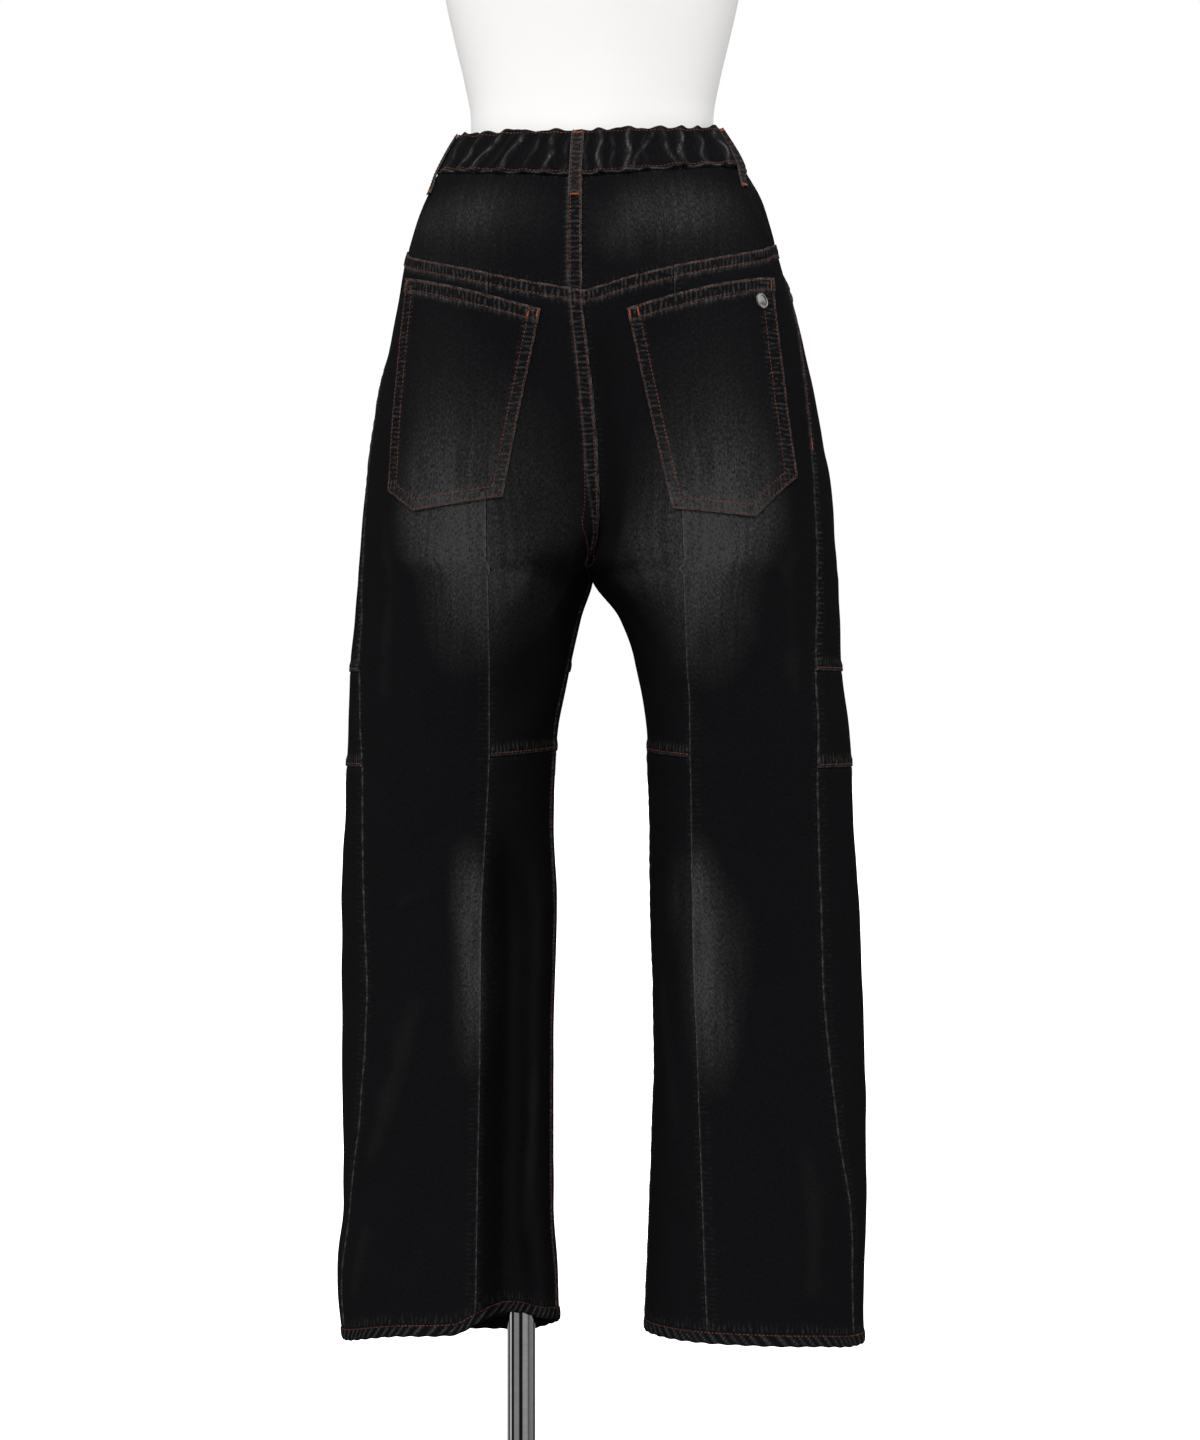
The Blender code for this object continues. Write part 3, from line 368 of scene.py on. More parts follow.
# What each kind of sewn edge does to the cloth beside it: how far it lifts the cloth and over what width,
# how softly that ends, its puckers' height, pitch and reach, the wear on its edge and on its crests, how far
# its very edge rounds down, and where its rows of sewing pull the cloth in
EDGE_TABLE = (
    ("kind", "lift", "width", "soft", "pucker", "pitch", "reach", "line", "crest", "edge", "rows"),
    ("plain", 0.0, 0.0, 0.001, 0.0, 0.01, 0.004, 0.0, 0.0, 0.0, ()),
    ("under", -0.0003, 0.0004, 0.003, 0.0001, 0.009, 0.006, 0.0, 0.2, 0.0, ()),
    ("felled", 0.001, 0.0112, 0.0009, 0.00022, 0.0125, 0.004, 0.82, 0.62, 0.0, (0.0016, 0.0094)),
    ("lapped", 0.0009, 0.0052, 0.005, 0.00022, 0.0125, 0.009, 0.42, 0.62, 0.0002, (0.0026,)),
    ("pressed", 0.0004, 0.0092, 0.003, 0.0002, 0.0115, 0.003, 0.62, 0.1, 0.0, ()),
    ("hemmed", 0.0, 0.0004, 0.002, 0.0003, 0.012, 0.012, 0.0, 0.34, 0.0, ()),
    ("patch", 0.0, 0.0112, 0.001, 0.00024, 0.0115, 0.002, 0.6, 0.5, 0.0006, (0.0016, 0.0094)),
)
EDGE_KINDS = {row[0]: dict(zip(EDGE_TABLE[0], row)) for row in EDGE_TABLE[1:]}

# The worn lines, rounding, puckers and sunken rows that all those edges share
LINE_WIDTH = 0.0011
SECOND_LINE_WIDTH = 0.8
SECOND_LINE_WEAR = 0.5
EDGE_ROUND = 0.0016
PUCKER_START = 0.0012
PUCKER_UNEVEN = 0.30
PUCKER_SWELL = 3.7
ROW_GROOVE = 0.00022
ROW_GROOVE_WIDTH = 0.0009
WEAR_BASE = 0.62

# Soft creases laid on the skin, from top to bottom. A positive depth is a ridge.
CREASES = (
    ("leg", "q_top", "z_top", "q_bottom", "z_bottom", "width", "depth"),
    ("left", 0.52, 0.872, 0.66, 0.792, 0.0070, -0.0010),
    ("left", 0.30, 0.868, 0.46, 0.772, 0.0090, 0.0013),
    ("left", 0.16, 0.905, 0.34, 0.820, 0.0080, -0.0014),
    ("left", 0.10, 0.876, 0.26, 0.780, 0.0070, 0.0012),
    ("left", 0.80, 0.900, 0.86, 0.690, 0.0080, 0.0012),
    ("left", 0.62, 0.735, 0.70, 0.655, 0.0100, -0.0010),
    ("left", 0.56, 0.620, 0.78, 0.586, 0.0080, -0.0012),
    ("left", 0.66, 0.560, 0.86, 0.540, 0.0070, 0.0010),
    ("left", 0.74, 0.480, 0.92, 0.300, 0.0120, 0.0016),
    ("left", 0.58, 0.330, 0.70, 0.205, 0.0120, -0.0014),
    ("left", 0.86, 0.270, 0.90, 0.185, 0.0100, 0.0014),
    ("left", 0.20, 0.430, 0.26, 0.230, 0.0120, 0.0016),
    ("left", 0.10, 1.148, 0.30, 1.108, 0.0060, -0.0006),
    ("left", 0.48, 1.158, 0.62, 1.132, 0.0060, 0.0007),
    ("left", 0.74, 1.166, 0.86, 1.120, 0.0060, -0.0008),
    ("left", 1.10, 0.930, 1.26, 0.840, 0.0100, 0.0014),
    ("left", 1.90, 0.905, 1.66, 0.842, 0.0080, -0.0016),
    ("left", 1.92, 0.880, 1.58, 0.800, 0.0090, 0.0016),
    ("left", 1.84, 0.846, 1.50, 0.760, 0.0100, -0.0012),
    ("left", 1.30, 0.660, 1.70, 0.640, 0.0090, -0.0012),
    ("left", 1.24, 0.615, 1.62, 0.598, 0.0090, 0.0012),
    ("left", 1.40, 0.560, 1.74, 0.530, 0.0110, -0.0012),
    ("left", 1.20, 0.420, 1.30, 0.210, 0.0140, 0.0018),
    ("left", 1.66, 0.400, 1.58, 0.200, 0.0140, -0.0016),
    ("right", 0.40, 0.866, 0.56, 0.800, 0.0070, -0.0010),
    ("right", 0.66, 0.868, 0.76, 0.745, 0.0080, 0.0012),
    ("right", 0.22, 0.880, 0.36, 0.800, 0.0080, 0.0012),
    ("right", 0.12, 0.860, 0.30, 0.760, 0.0080, -0.0012),
    ("right", 0.86, 0.880, 0.90, 0.700, 0.0090, 0.0012),
    ("right", 0.46, 0.742, 0.58, 0.668, 0.0100, -0.0010),
    ("right", 0.34, 0.545, 0.66, 0.536, 0.0050, -0.0010),
    ("right", 0.28, 0.585, 0.50, 0.566, 0.0070, 0.0009),
    ("right", 0.64, 0.600, 0.86, 0.572, 0.0090, -0.0011),
    ("right", 0.20, 0.500, 0.34, 0.330, 0.0110, 0.0014),
    ("right", 0.62, 0.420, 0.76, 0.220, 0.0130, -0.0014),
    ("right", 0.84, 0.350, 0.80, 0.190, 0.0110, 0.0016),
    ("right", 0.30, 0.290, 0.38, 0.185, 0.0110, -0.0012),
    ("right", 0.16, 1.150, 0.34, 1.128, 0.0060, 0.0006),
    ("right", 0.52, 1.160, 0.70, 1.130, 0.0060, -0.0007),
    ("right", 0.78, 1.165, 0.92, 1.112, 0.0060, 0.0009),
    ("right", 1.10, 0.940, 1.28, 0.850, 0.0100, 0.0014),
    ("right", 1.90, 0.902, 1.64, 0.846, 0.0080, -0.0016),
    ("right", 1.93, 0.876, 1.60, 0.792, 0.0090, 0.0016),
    ("right", 1.82, 0.838, 1.48, 0.756, 0.0100, -0.0012),
    ("right", 1.28, 0.668, 1.66, 0.650, 0.0090, -0.0012),
    ("right", 1.36, 0.620, 1.72, 0.594, 0.0090, 0.0012),
    ("right", 1.22, 0.566, 1.58, 0.540, 0.0110, -0.0012),
    ("right", 1.24, 0.400, 1.34, 0.200, 0.0140, 0.0018),
    ("right", 1.70, 0.380, 1.62, 0.195, 0.0140, -0.0016),
)
CREASE_END = 0.22
CREASE_WEAR = 22.0
CREASE_WEAR_FROM = 0.0005
CREASE_CENTRE_EASE = 0.06
UNEVEN_HEIGHT = 0.00030
UNEVEN_SIZE = 0.060
UNEVEN_SEEDS = {"left": 11, "right": 12}

# Washed fades: where each is, its half width and height, and how far it lightens the cloth
FADES = (
    ("leg", "q", "z", "half_width", "half_height", "strength"),
    ("left", 0.45, 1.126, 0.090, 0.044, 0.15),
    ("left", 0.42, 1.136, 0.038, 0.020, 0.26),
    ("left", 0.70, 1.134, 0.026, 0.018, 0.14),
    ("left", 0.50, 1.000, 0.062, 0.070, 0.11),
    ("left", 0.44, 0.918, 0.044, 0.046, 0.46),
    ("left", 0.50, 0.868, 0.036, 0.052, 0.72),
    ("left", 0.44, 0.842, 0.030, 0.046, 0.60),
    ("left", 0.60, 0.850, 0.028, 0.050, 0.36),
    ("left", 0.54, 0.786, 0.030, 0.040, 0.26),
    ("left", 0.22, 0.900, 0.036, 0.070, 0.24),
    ("left", 0.32, 0.810, 0.034, 0.040, 0.16),
    ("left", 0.53, 0.545, 0.015, 0.040, 0.66),
    ("left", 0.50, 0.478, 0.014, 0.055, 0.58),
    ("left", 0.56, 0.470, 0.014, 0.060, 0.24),
    ("right", 0.45, 1.126, 0.090, 0.044, 0.15),
    ("right", 0.34, 1.128, 0.044, 0.019, 0.36),
    ("right", 0.52, 1.144, 0.036, 0.018, 0.22),
    ("right", 0.16, 1.108, 0.022, 0.014, 0.16),
    ("right", 0.52, 1.000, 0.066, 0.070, 0.11),
    ("right", 0.53, 0.918, 0.044, 0.046, 0.44),
    ("right", 0.56, 0.868, 0.036, 0.050, 0.78),
    ("right", 0.56, 0.835, 0.030, 0.050, 0.55),
    ("right", 0.42, 0.858, 0.034, 0.050, 0.52),
    ("right", 0.68, 0.850, 0.028, 0.052, 0.30),
    ("right", 0.55, 0.776, 0.036, 0.042, 0.24),
    ("right", 0.48, 0.545, 0.018, 0.040, 0.74),
    ("right", 0.48, 0.480, 0.018, 0.060, 0.66),
    ("right", 0.36, 0.550, 0.016, 0.030, 0.50),
    ("right", 0.55, 0.450, 0.018, 0.050, 0.26),
    ("right", 0.64, 0.510, 0.018, 0.050, 0.14),
    ("left", 1.50, 0.900, 0.060, 0.090, 0.62),
    ("left", 1.56, 0.820, 0.050, 0.070, 0.48),
    ("left", 1.50, 0.610, 0.052, 0.052, 0.58),
    ("left", 1.50, 0.430, 0.040, 0.070, 0.22),
    ("left", 1.40, 1.130, 0.040, 0.024, 0.24),
    ("right", 1.52, 0.890, 0.060, 0.090, 0.66),
    ("right", 1.56, 0.812, 0.050, 0.070, 0.46),
    ("right", 1.50, 0.606, 0.052, 0.050, 0.62),
    ("right", 1.52, 0.420, 0.040, 0.070, 0.20),
    ("right", 1.40, 1.128, 0.040, 0.024, 0.26),
)

# What is taken off every fade, and the inner back panels' share of it, as they show darker: painted shade of
# the inner thigh and recess
FADE_FLOOR = 0.05
INNER_PAINTED_SHADE = {"back_inner_upper": 0.70, "back_inner_lower": 0.28}

# Stitches
STITCH_PITCH = 0.0034
STITCH_LENGTH = 0.0030
THREAD = 0.00100
TACK_PITCH = 0.00052
TACK_LENGTH = 0.0022
TACK_THREAD = 0.00080
SEW_STEP = 0.0024
ROW_INSET = 0.0016
ROW_SECOND = 0.0094
LAP_ROW = 0.0026
TACK_POINTS = 6
LOOP_TACK_INSET = 0.0016
SIDE_TACK_BELOW = 0.004
SIDE_TACK_ABOVE = 0.006
POCKET_TACK_DOWN = (0.012, 0.068)
POCKET_TOP_ROWS = (0.0018, 0.0102)
MOUTH_ROW_INSET = 0.001
HEM_ROW_DROP = 0.0012
FLY_ROW_END = 0.97
FLY_ROW_POINTS = 60
RAY_START = 0.012
THREAD_SINK = 0.00006

# Finishes
RUST_THREAD = (0.185, 0.050, 0.028)
ORANGE_THREAD = (0.400, 0.095, 0.030)
BROWN_THREAD = (0.150, 0.050, 0.028)
DARK_DYE = (0.0040, 0.0040, 0.0047)
WASHED = (0.044, 0.0425, 0.043)
WORN = (0.120, 0.116, 0.114)
REVERSE = (0.011, 0.0105, 0.0105)
FORM_WHITES = ((0.865, 0.855, 0.845), (0.885, 0.875, 0.868))
FLOOR_GREYS = ((0.86, 0.86, 0.86), (0.88, 0.88, 0.88))

# The three threads as sewn: each piece's name, its finish, how far its colour darkens, and its stitches
STITCHES = {"Pitch": STITCH_PITCH, "Length": STITCH_LENGTH, "Thread": THREAD, "Turn": 0.0, "Uneven": 0.18}
TACKS = {"Pitch": TACK_PITCH, "Length": TACK_LENGTH, "Thread": TACK_THREAD, "Turn": 0.5 * math.pi,
         "Uneven": 0.25}
THREADS = (
    ("name", "finish", "colour", "shade", "sizes"),
    ("rust_topstitching", "rust_thread", RUST_THREAD, 0.45, STITCHES),
    ("orange_bartacks", "orange_thread", ORANGE_THREAD, 0.6, TACKS),
    ("loop_stitching", "brown_thread", BROWN_THREAD, 0.6, STITCHES),
)

# Metals: name, colour, tarnish, roughness, the streaks' scale and the roughness they range over
SILVER = ("silver_metal", (0.24, 0.24, 0.23), (0.05, 0.05, 0.05), 0.25, (900.0, 900.0, 900.0), (0.16, 0.34))
CHROME = ("chrome", (0.62, 0.62, 0.63), (0.54, 0.54, 0.55), 0.05, (40.0, 40.0, 4.0), (0.02, 0.05))
STEEL = ("brushed_steel", (0.44, 0.44, 0.45), (0.36, 0.36, 0.37), 0.30, (14.0, 700.0, 700.0), (0.26, 0.40))

# The gap left at each seam, the front's place on the cut map, and the steps of a search round the skin
GAP_Q = 0.0009
FRONT_MIDDLE_Q = 1.5
FRONT_MAP_START = 2.0
BISECTIONS = 30

# The foot of the front pocket's mouth and the facing behind it
MOUTH_FOOT_Z = 1.076
FACING_RISE = 0.002
FACING_UNDERLAP = 0.006
FACING_SINK = 0.0026

# The back waistband: its levels, its edges' waves (height, size, sway and the sway's size), its gathers'
# worn crests, its ripple, its grooves, wear and fade, and the painted light and shade of its gathers
BAND_PROUD = 0.0008
BAND_COLUMNS = 100
BAND_ROWS = 16
BAND_LOW_WAVE = (0.0005, 0.0051, 1.4, 0.013)
BAND_TOP_WAVE = (0.0010, 0.0043, 1.7, 0.017)
GATHER_PUFF = 1.35
GATHER_FAINTEST = 0.0014
GATHER_TALLEST = 0.0030
CREST_WIDTH = 0.0009
CREST_SWAY = 0.0018
CREST_SWAY_PACE = 9.0
CREST_SWAY_START = 400.0
CREST_END_LOSS = 0.8
CREST_PEAK = 0.9
CREST_CURVE = 1.5
BAND_RIPPLE = 0.0003
BAND_RIPPLE_SIZE = 0.016
BAND_RIPPLE_SEED = 5
BAND_FOOT_LEVELS = (0.0, 0.02, 0.045, 0.075)
BAND_MIDDLE_LEVELS = (0.11, 0.89)
BAND_HEAD_LEVELS = (0.925, 0.955, 0.98, 1.0)
BAND_GROOVE = 0.00035
BAND_GROOVE_WIDTH = 0.0012
BAND_LOW_EDGE = 0.0011
BAND_TOP_EDGE = 0.0010
BAND_TOP_EDGE_WEAR = 0.6
BAND_WEAR_SIZE = 0.012
BAND_WEAR_SEED = 6
BAND_WEAR_EVEN = 0.65
BAND_WEAR_BREAKS = 0.5
BAND_CREST_WEAR = 0.80
BAND_EDGE_WEAR = 0.60
BAND_INSIDE_GATHER = 0.6
BAND_INSIDE_WALL = 0.0006
BAND_FADE = 0.4
# Painted light and shade: the band's fade grows with its gathers' height, lighter on the crests and darker in
# the valleys
BAND_GATHER_PAINTED_LIGHT = 45.0
BAND_GATHER_PAINTED_LIGHT_FROM = 0.0020
BAND_FADE_MOST = 0.22
BAND_PUCKER = 0.04

# The hems: their steps and roll, the rope their sewing twists them into (its swells as a share of a pitch, a
# length in pitches and a start), and their wear
HEM_STEP = 0.0020
HEM_ROLL = 7
HEM_SIDE_ROWS = 7
HEM_ROLL_RADIUS = 0.0016
HEM_SLANT = 0.9
HEM_ROPE_PITCH = 0.0085
HEM_ROPE_HEIGHT = 0.0009
HEM_ROPE_SAG = 0.0004
HEM_ROPE_FLAT = 0.25
HEM_SWELLS = ((0.33, 2.3, 1.0), (0.2, 0.9, 0.0))
HEM_SAG_PITCHES = 1.7
HEM_SAG_HEIGHT = 0.002
HEM_FADE = 0.5
HEM_WEAR = 0.44
HEM_WEAR_FLAT = 0.35

# How the belt loops are made
LOOP_ROWS = 24
LOOP_TAUT = 0.12
LOOP_STAND = 0.0002
LOOP_DROP_SHARE = 0.6
LOOP_ACROSS = (-0.5, -0.47, -0.42, -0.34, -0.2, 0.0, 0.2, 0.34, 0.42, 0.47, 0.5)
LOOP_ROW_SHARE = 0.68
LOOP_ROUND = 0.0007
LOOP_ROUND_FROM = 0.72
LOOP_GROOVE = 0.00025
LOOP_GROOVE_WIDTH = 0.12
LOOP_FADE = 0.22
LOOP_WEAR = 0.65
LOOP_WEAR_FROM = 0.8
LOOP_PUCKER = 0.7

# How the back pockets are made
POCKET_SIZE = (0.122, 0.172)
POCKET_ROUND = ("top_inner", "top_outer", "low_outer", "point", "low_inner")
POCKET_SEWN = ("top_inner", "low_inner", "point", "low_outer", "top_outer")
POCKET_TACKS = (0.015, 0.076, 0.976)
POCKET_COLUMNS = 30
POCKET_ROWS = 34
POCKET_BELLY = 0.0015
POCKET_BELLY_CURVE = 0.7
POCKET_MAP_SHIFT = 0.37

# How the fly is made
FLY_COLUMNS = 16
FLY_ROWS = 40
FLY_ROUND = 0.0006
FLY_ROUND_WIDTH = 0.002
FLY_WEAR = 0.5
FLY_PUCKER = 0.4
FLY_PUCKER_WIDTH = 0.008
FLY_PUCKER_SOFT = 0.006

# Where rows of sewing start and end: ways round for level rows, heights for those up the garment
TOPSTITCH_END_Z = 0.938
YOKE_ROW = (0.004, 0.996)
BAND_ROW = (0.0, 1.99)
HEM_ROW = (0.0, 2.0)
FRONT_ROW = (1.01, 1.99)
KNEE_ROW_START = 0.01
KNEE_ROW_END_Z = 0.672
RISE_ROW = (CROTCH_Z + 0.006, 1.164)
INSEAM_ROW = (0.186, CROTCH_Z - 0.150)
MOUTH_ROW = (MOUTH_FOOT_Z + 0.004, 1.172)

# Metal, form and stand, as shares of each piece's radius and height
STUD_PROFILE = (
    (0.0, 0.0), (0.94, 0.0), (1.0, 0.20), (0.98, 0.44), (0.90, 0.66), (0.80, 0.74), (0.74, 0.66),
    (0.66, 0.70), (0.52, 0.88), (0.28, 0.98), (0.0, 1.0),
)
BUTTON_PROFILE = (
    (0.0, 0.0), (0.62, 0.0), (0.62, 0.35), (0.95, 0.42), (1.0, 0.60), (0.97, 0.82), (0.88, 0.98), (0.78, 1.0),
    (0.70, 0.88), (0.56, 0.84), (0.20, 0.86), (0.0, 0.90),
)
METAL_SIDES = 48
METAL_SINK = 0.0003
FORM_STEP = 0.010
FORM_SIDES = 112
FORM_SHARP_DEGREES = 40.0
POLE_SIDES = 72
POLE_ROUND = 0.0006
BASE_SIDES = 160
COLLAR_OUTLINE = (
    (0.97, 0.0), (1.0, 0.03), (1.0, 0.66), (0.98, 0.72), (0.90, 0.82), (0.76, 0.95), (0.70, 1.0),
)
PLATE_OUTLINE = (
    (0.0, 0.0), (0.992, 0.0), (0.998, 0.08), (1.0, 0.30), (1.0, 0.70), (0.998, 0.88), (0.992, 1.0),
    (0.0, 1.0),
)

# Sewing beads
STITCH_SEED = 7
STITCH_SEGMENTS = 6
STITCH_RINGS = 4
STITCH_FLATNESS = 0.8

# The denim's twill and grains: how finely each noise runs across and up, its detail and its sharpening
TWILL_TURN = 0.46
TWILL_SCALE = 314.0
TWILL_DISTORTION = 1.2
GRAINS = (
    ("name", "scale", "detail", "sharpen"),
    ("slub", (1050.0, 290.0, 1.0), 3.0, (0.34, 0.66)),
    ("speck", (760.0, 620.0, 1.0), 1.0, (0.40, 0.66)),
    ("cloud", (30.0, 16.0, 1.0), 4.0, (0.30, 0.70)),
    ("crumple", (150.0, 90.0, 1.0), 3.0, None),
    # The next grain is painted shade and light of fine crumples, laid into the colour
    ("wrinkle", (300.0, 520.0, 1.0), 3.0, (0.50, 0.66)),
    ("streak", (210.0, 15.0, 1.0), 3.0, (0.34, 0.66)),
)
RIDGE_SCALE = 73.0
RIDGE_DISTORTION = 3.6
RIDGE_DETAIL_SCALE = 80.0
RIDGE_FOOT = 0.25
RIDGE_GRAIN = (2.0, (0.40, 0.66))
RIDGES_ACROSS = (260.0, 150.0, 1.0)
RIDGES_UP = (150.0, 260.0, 1.0)

# How much each of them counts in the fades, the weave, the worn places and the bump
FADE_EVEN = 0.46
FADE_CLOUD = 0.45
FADE_STREAK = 0.50
WEAVE_EVEN = 0.10
WEAVE_SLUB = 1.25
WEAVE_TWILL = 0.30
# Painted shade and light of fine crumples, in the colour
WEAVE_PAINTED_CRUMPLE_SHADE = 0.75
WASHED_ALL_OVER = 0.03
WORN_EVEN = 0.35
WORN_SPECK = 0.85
FLECK_STRENGTH = 0.42
BUMP_TWILL = 0.3
BUMP_SLUB = 0.5
BUMP_CRUMPLE = 2.4
BUMP_FLECKS = 1.4

# Light: the sky's upright panels as a share round the horizon and a brightness, and the suns
SKY_PANELS = (
    (0.00, 1.00), (0.10, 1.00), (0.11, 0.05), (0.16, 0.05), (0.17, 0.90), (0.26, 0.90), (0.27, 0.10),
    (0.30, 0.10), (0.31, 1.40), (0.42, 1.40), (0.43, 0.02), (0.47, 0.02), (0.48, 2.60), (0.53, 2.60),
    (0.54, 0.06), (0.60, 0.06), (0.61, 1.20), (0.72, 1.20), (0.73, 0.05), (0.80, 0.05), (0.81, 1.50),
    (0.92, 1.50), (0.93, 0.40), (1.00, 1.00),
)
WHITE = (1.0, 1.0, 1.0, 1.0)
SKY_STRENGTH = 0.52
MIRROR_STRENGTH = 0.26
LAMPS = (
    ("name", "azimuth", "elevation", "strength", "spread"),
    ("key", 180.0, 42.0, 2.30, 30.0),
    ("left_fill", 100.0, 25.0, 0.90, 50.0),
    ("right_fill", 275.0, 25.0, 0.90, 50.0),
    ("front_fill", 5.0, 40.0, 1.50, 40.0),
)
LAMP_DISTANCE = 4.0
FLOOR_RADIUS = 40.0
FLOOR_SIDES = 96
FLOOR_GLOW = 0.75

# What has been made: the cloth pieces by name, the loops' own lines and the metal
PIECES = {}
LOOP_LINES = {}
METAL = []

# Camera at the photograph's angle
CAMERA_AZIMUTH = 188.0
CAMERA_DISTANCE = 3.0
CAMERA_SHIFT_RIGHT = 0.00704
CAMERA_Z = 0.7026
CAMERA_LENS = 85.2
SENSOR_HEIGHT = 36.0


def ease(share):
    """A smooth step from 0 to 1."""
    share = np.clip(share, 0.0, 1.0)
    return share * share * (3.0 - 2.0 * share)


def bell(off, width):
    """A soft hump, 1 at its middle, at a distance off it."""
    return np.exp(-(off / width) ** 2)


def along(table, column, place):
    """A smooth curve through a named column of a table, which never overshoots its rows."""
    names, *rows = table
    knots = np.array([row[0] for row in rows])
    values = np.array([row[names.index(column)] for row in rows])
    step = np.diff(knots)
    secant = np.diff(values) / step
    slope = np.concatenate(([secant[0]], np.zeros(len(secant) - 1), [secant[-1]]))
    product = secant[1:] * secant[:-1]
    steady = product > 0
    slope[1:-1][steady] = 2.0 * product[steady] / (secant[1:] + secant[:-1])[steady]
    index = np.clip(np.searchsorted(knots, place) - 1, 0, len(step) - 1)
    t = np.clip((place - knots[index]) / step[index], 0.0, 1.0)
    start = (1 + 2 * t) * (1 - t) ** 2 * values[index] + t * (1 - t) ** 2 * step[index] * slope[index]
    end = t * t * (3 - 2 * t) * values[index + 1] + t * t * (t - 1) * step[index] * slope[index + 1]
    return start + end


def quarter_length(a, b):
    """About the length of a quarter of an ellipse."""
    return 0.5 * math.pi * np.sqrt(0.5 * (a * a + b * b))


def lean(leg, x, z):
    """How far the centre back seam's lean moves a point that is x from the middle, outward on its leg."""
    return OUTWARD[leg] * along(SEAM_LEAN, "x", z) * (1.0 - np.clip(x / LEAN_REACH, 0.0, 1.0) ** 2) ** 2


def half_section(leg, face, share, z):
    """A point of the back or the front, share 0 at the centre or inseam to 1 at the side."""
    out = along(SECTIONS, f"out_{leg}", z)
    inner = along(SECTIONS, f"inner_{leg}", z)
    crown_y = along(SECTIONS, face, z)
    crown_x = along(SECTIONS, f"crown_{leg}", z)
    start_y = along(CENTRE_SEAMS, face, z)
    joined = ease((z - CROTCH_Z) / JOIN_HEIGHT)
    inner_length = joined * crown_x + (1 - joined) * quarter_length(crown_x - inner, crown_y - start_y)
    outer_length = quarter_length(out - crown_x, crown_y)
    split = inner_length / (inner_length + outer_length)
    first = np.clip(share / split, 0.0, 1.0)
    second = np.clip((share - split) / (1.0 - split), 0.0, 1.0)
    angle = 0.5 * math.pi * first
    round_x = inner + (crown_x - inner) * (1.0 - np.cos(angle))
    round_y = start_y + (crown_y - start_y) * np.sin(angle)
    flat_x = crown_x * first
    flat_y = start_y + (crown_y - start_y) * ease(first)
    turn = 0.5 * math.pi * second
    x = np.where(share < split, joined * flat_x + (1 - joined) * round_x,
                 crown_x + (out - crown_x) * np.sin(turn))
    y = np.where(share < split, joined * flat_y + (1 - joined) * round_y, crown_y * np.cos(turn))
    if face == "back":
        x = x + lean(leg, x, z)
    outseam = split + (1.0 - split) * (1.0 - along(OUTSEAM_TURN, "turn", z) / 90.0)
    return x, y, outseam


def fold_depth(leg, face, x, z):
    """How far the folds of one face move the skin outward at x, z."""
    depth = np.zeros_like(x)
    for fold_leg, fold_face, x_top, x_bottom, width, height, z_top, z_bottom in FOLDS[1:]:
        if fold_leg != leg or fold_face != face:
            continue
        share = (z_top - z) / (z_top - z_bottom)
        middle = x_top + (x_bottom - x_top) * np.clip(share, 0.0, 1.0)
        fade = ease(share / FOLD_END_SHARE) * ease((1.0 - share) / FOLD_END_SHARE)
        depth += height * fade * bell(x - middle, width)
    return depth


def gather_height(x, z, low, high):
    """How far the gathers lift the back band at x between its bottom and its top."""
    share = np.clip((z - low) / (high - low), -GATHER_RUN_BELOW, 1.0 + GATHER_RUN_ABOVE)
    lift = np.zeros_like(x)
    for x_top, x_bottom, height in GATHERS[1:]:
        middle = x_bottom + (x_top - x_bottom) * share
        lift = np.maximum(lift, height * bell(x - middle, GATHER_WIDTH))
    return lift


def skin_point(leg, q, z):
    """A point of one leg's skin, without gathers."""
    q = np.clip(q, 0.0, 2.0)
    outseam = half_section(leg, "back", np.zeros_like(q), z)[2]
    way = np.where(q < 1.0, q * outseam, outseam + (q - 1.0) * (2.0 - outseam))
    back_x, back_y, _ = half_section(leg, "back", np.clip(way, 0.0, 1.0), z)
    front_x, front_y, _ = half_section(leg, "front", np.clip(2.0 - way, 0.0, 1.0), z)
    behind = way < 1.0
    x = np.where(behind, back_x, front_x)
    y = np.where(behind, back_y, front_y)
    inner = along(SECTIONS, f"inner_{leg}", z)
    seam_ease = ease((x - inner) / FOLD_SEAM_EASE)
    y = y + np.where(behind, fold_depth(leg, "back", x, z), -fold_depth(leg, "front", x, z)) * seam_ease
    if leg == "left":
        ridge = along(CENTRE_LEG_SEAM, "left", z)
        tuck = TUCK_DEPTH * ease((TUCK_TOP_Z - z) / (TUCK_TOP_Z - TUCK_FULL_Z))
        tuck = tuck * ease((ridge - x) / TUCK_WIDTH) * ease((x - inner) / TUCK_INSEAM_EASE)
        y = y - np.where(behind, tuck, 0.0)
    return np.stack((OUTWARD[leg] * x, y, z + 0.0 * x), axis=-1)


def skin(leg, q, z, lift=0.0):
    """Points of one leg's skin, moved out along its normal by lift."""
    q, z, lift = np.broadcast_arrays(np.asarray(q, float), np.asarray(z, float), np.asarray(lift, float))
    along_q = skin_point(leg, q + SLOPE_STEP_ROUND, z) - skin_point(leg, q - SLOPE_STEP_ROUND, z)
    along_z = skin_point(leg, q, z + SLOPE_STEP_UP) - skin_point(leg, q, z - SLOPE_STEP_UP)
    normal = np.cross(along_q, along_z) * -OUTWARD[leg]
    at_centre = (1.0 - ease(np.minimum(q, 2.0 - q) / CENTRE_TURN_Q)) * ease((z - CROTCH_Z) / CENTRE_TURN_RISE)
    normal[..., 0] *= 1.0 - at_centre
    normal /= np.linalg.norm(normal, axis=-1, keepdims=True)
    return skin_point(leg, q, z) + normal * lift[..., None]


def hem_edge(leg, q):
    """The height of the hem's lower edge."""
    return along(HEM_EDGE[leg], "z", q)


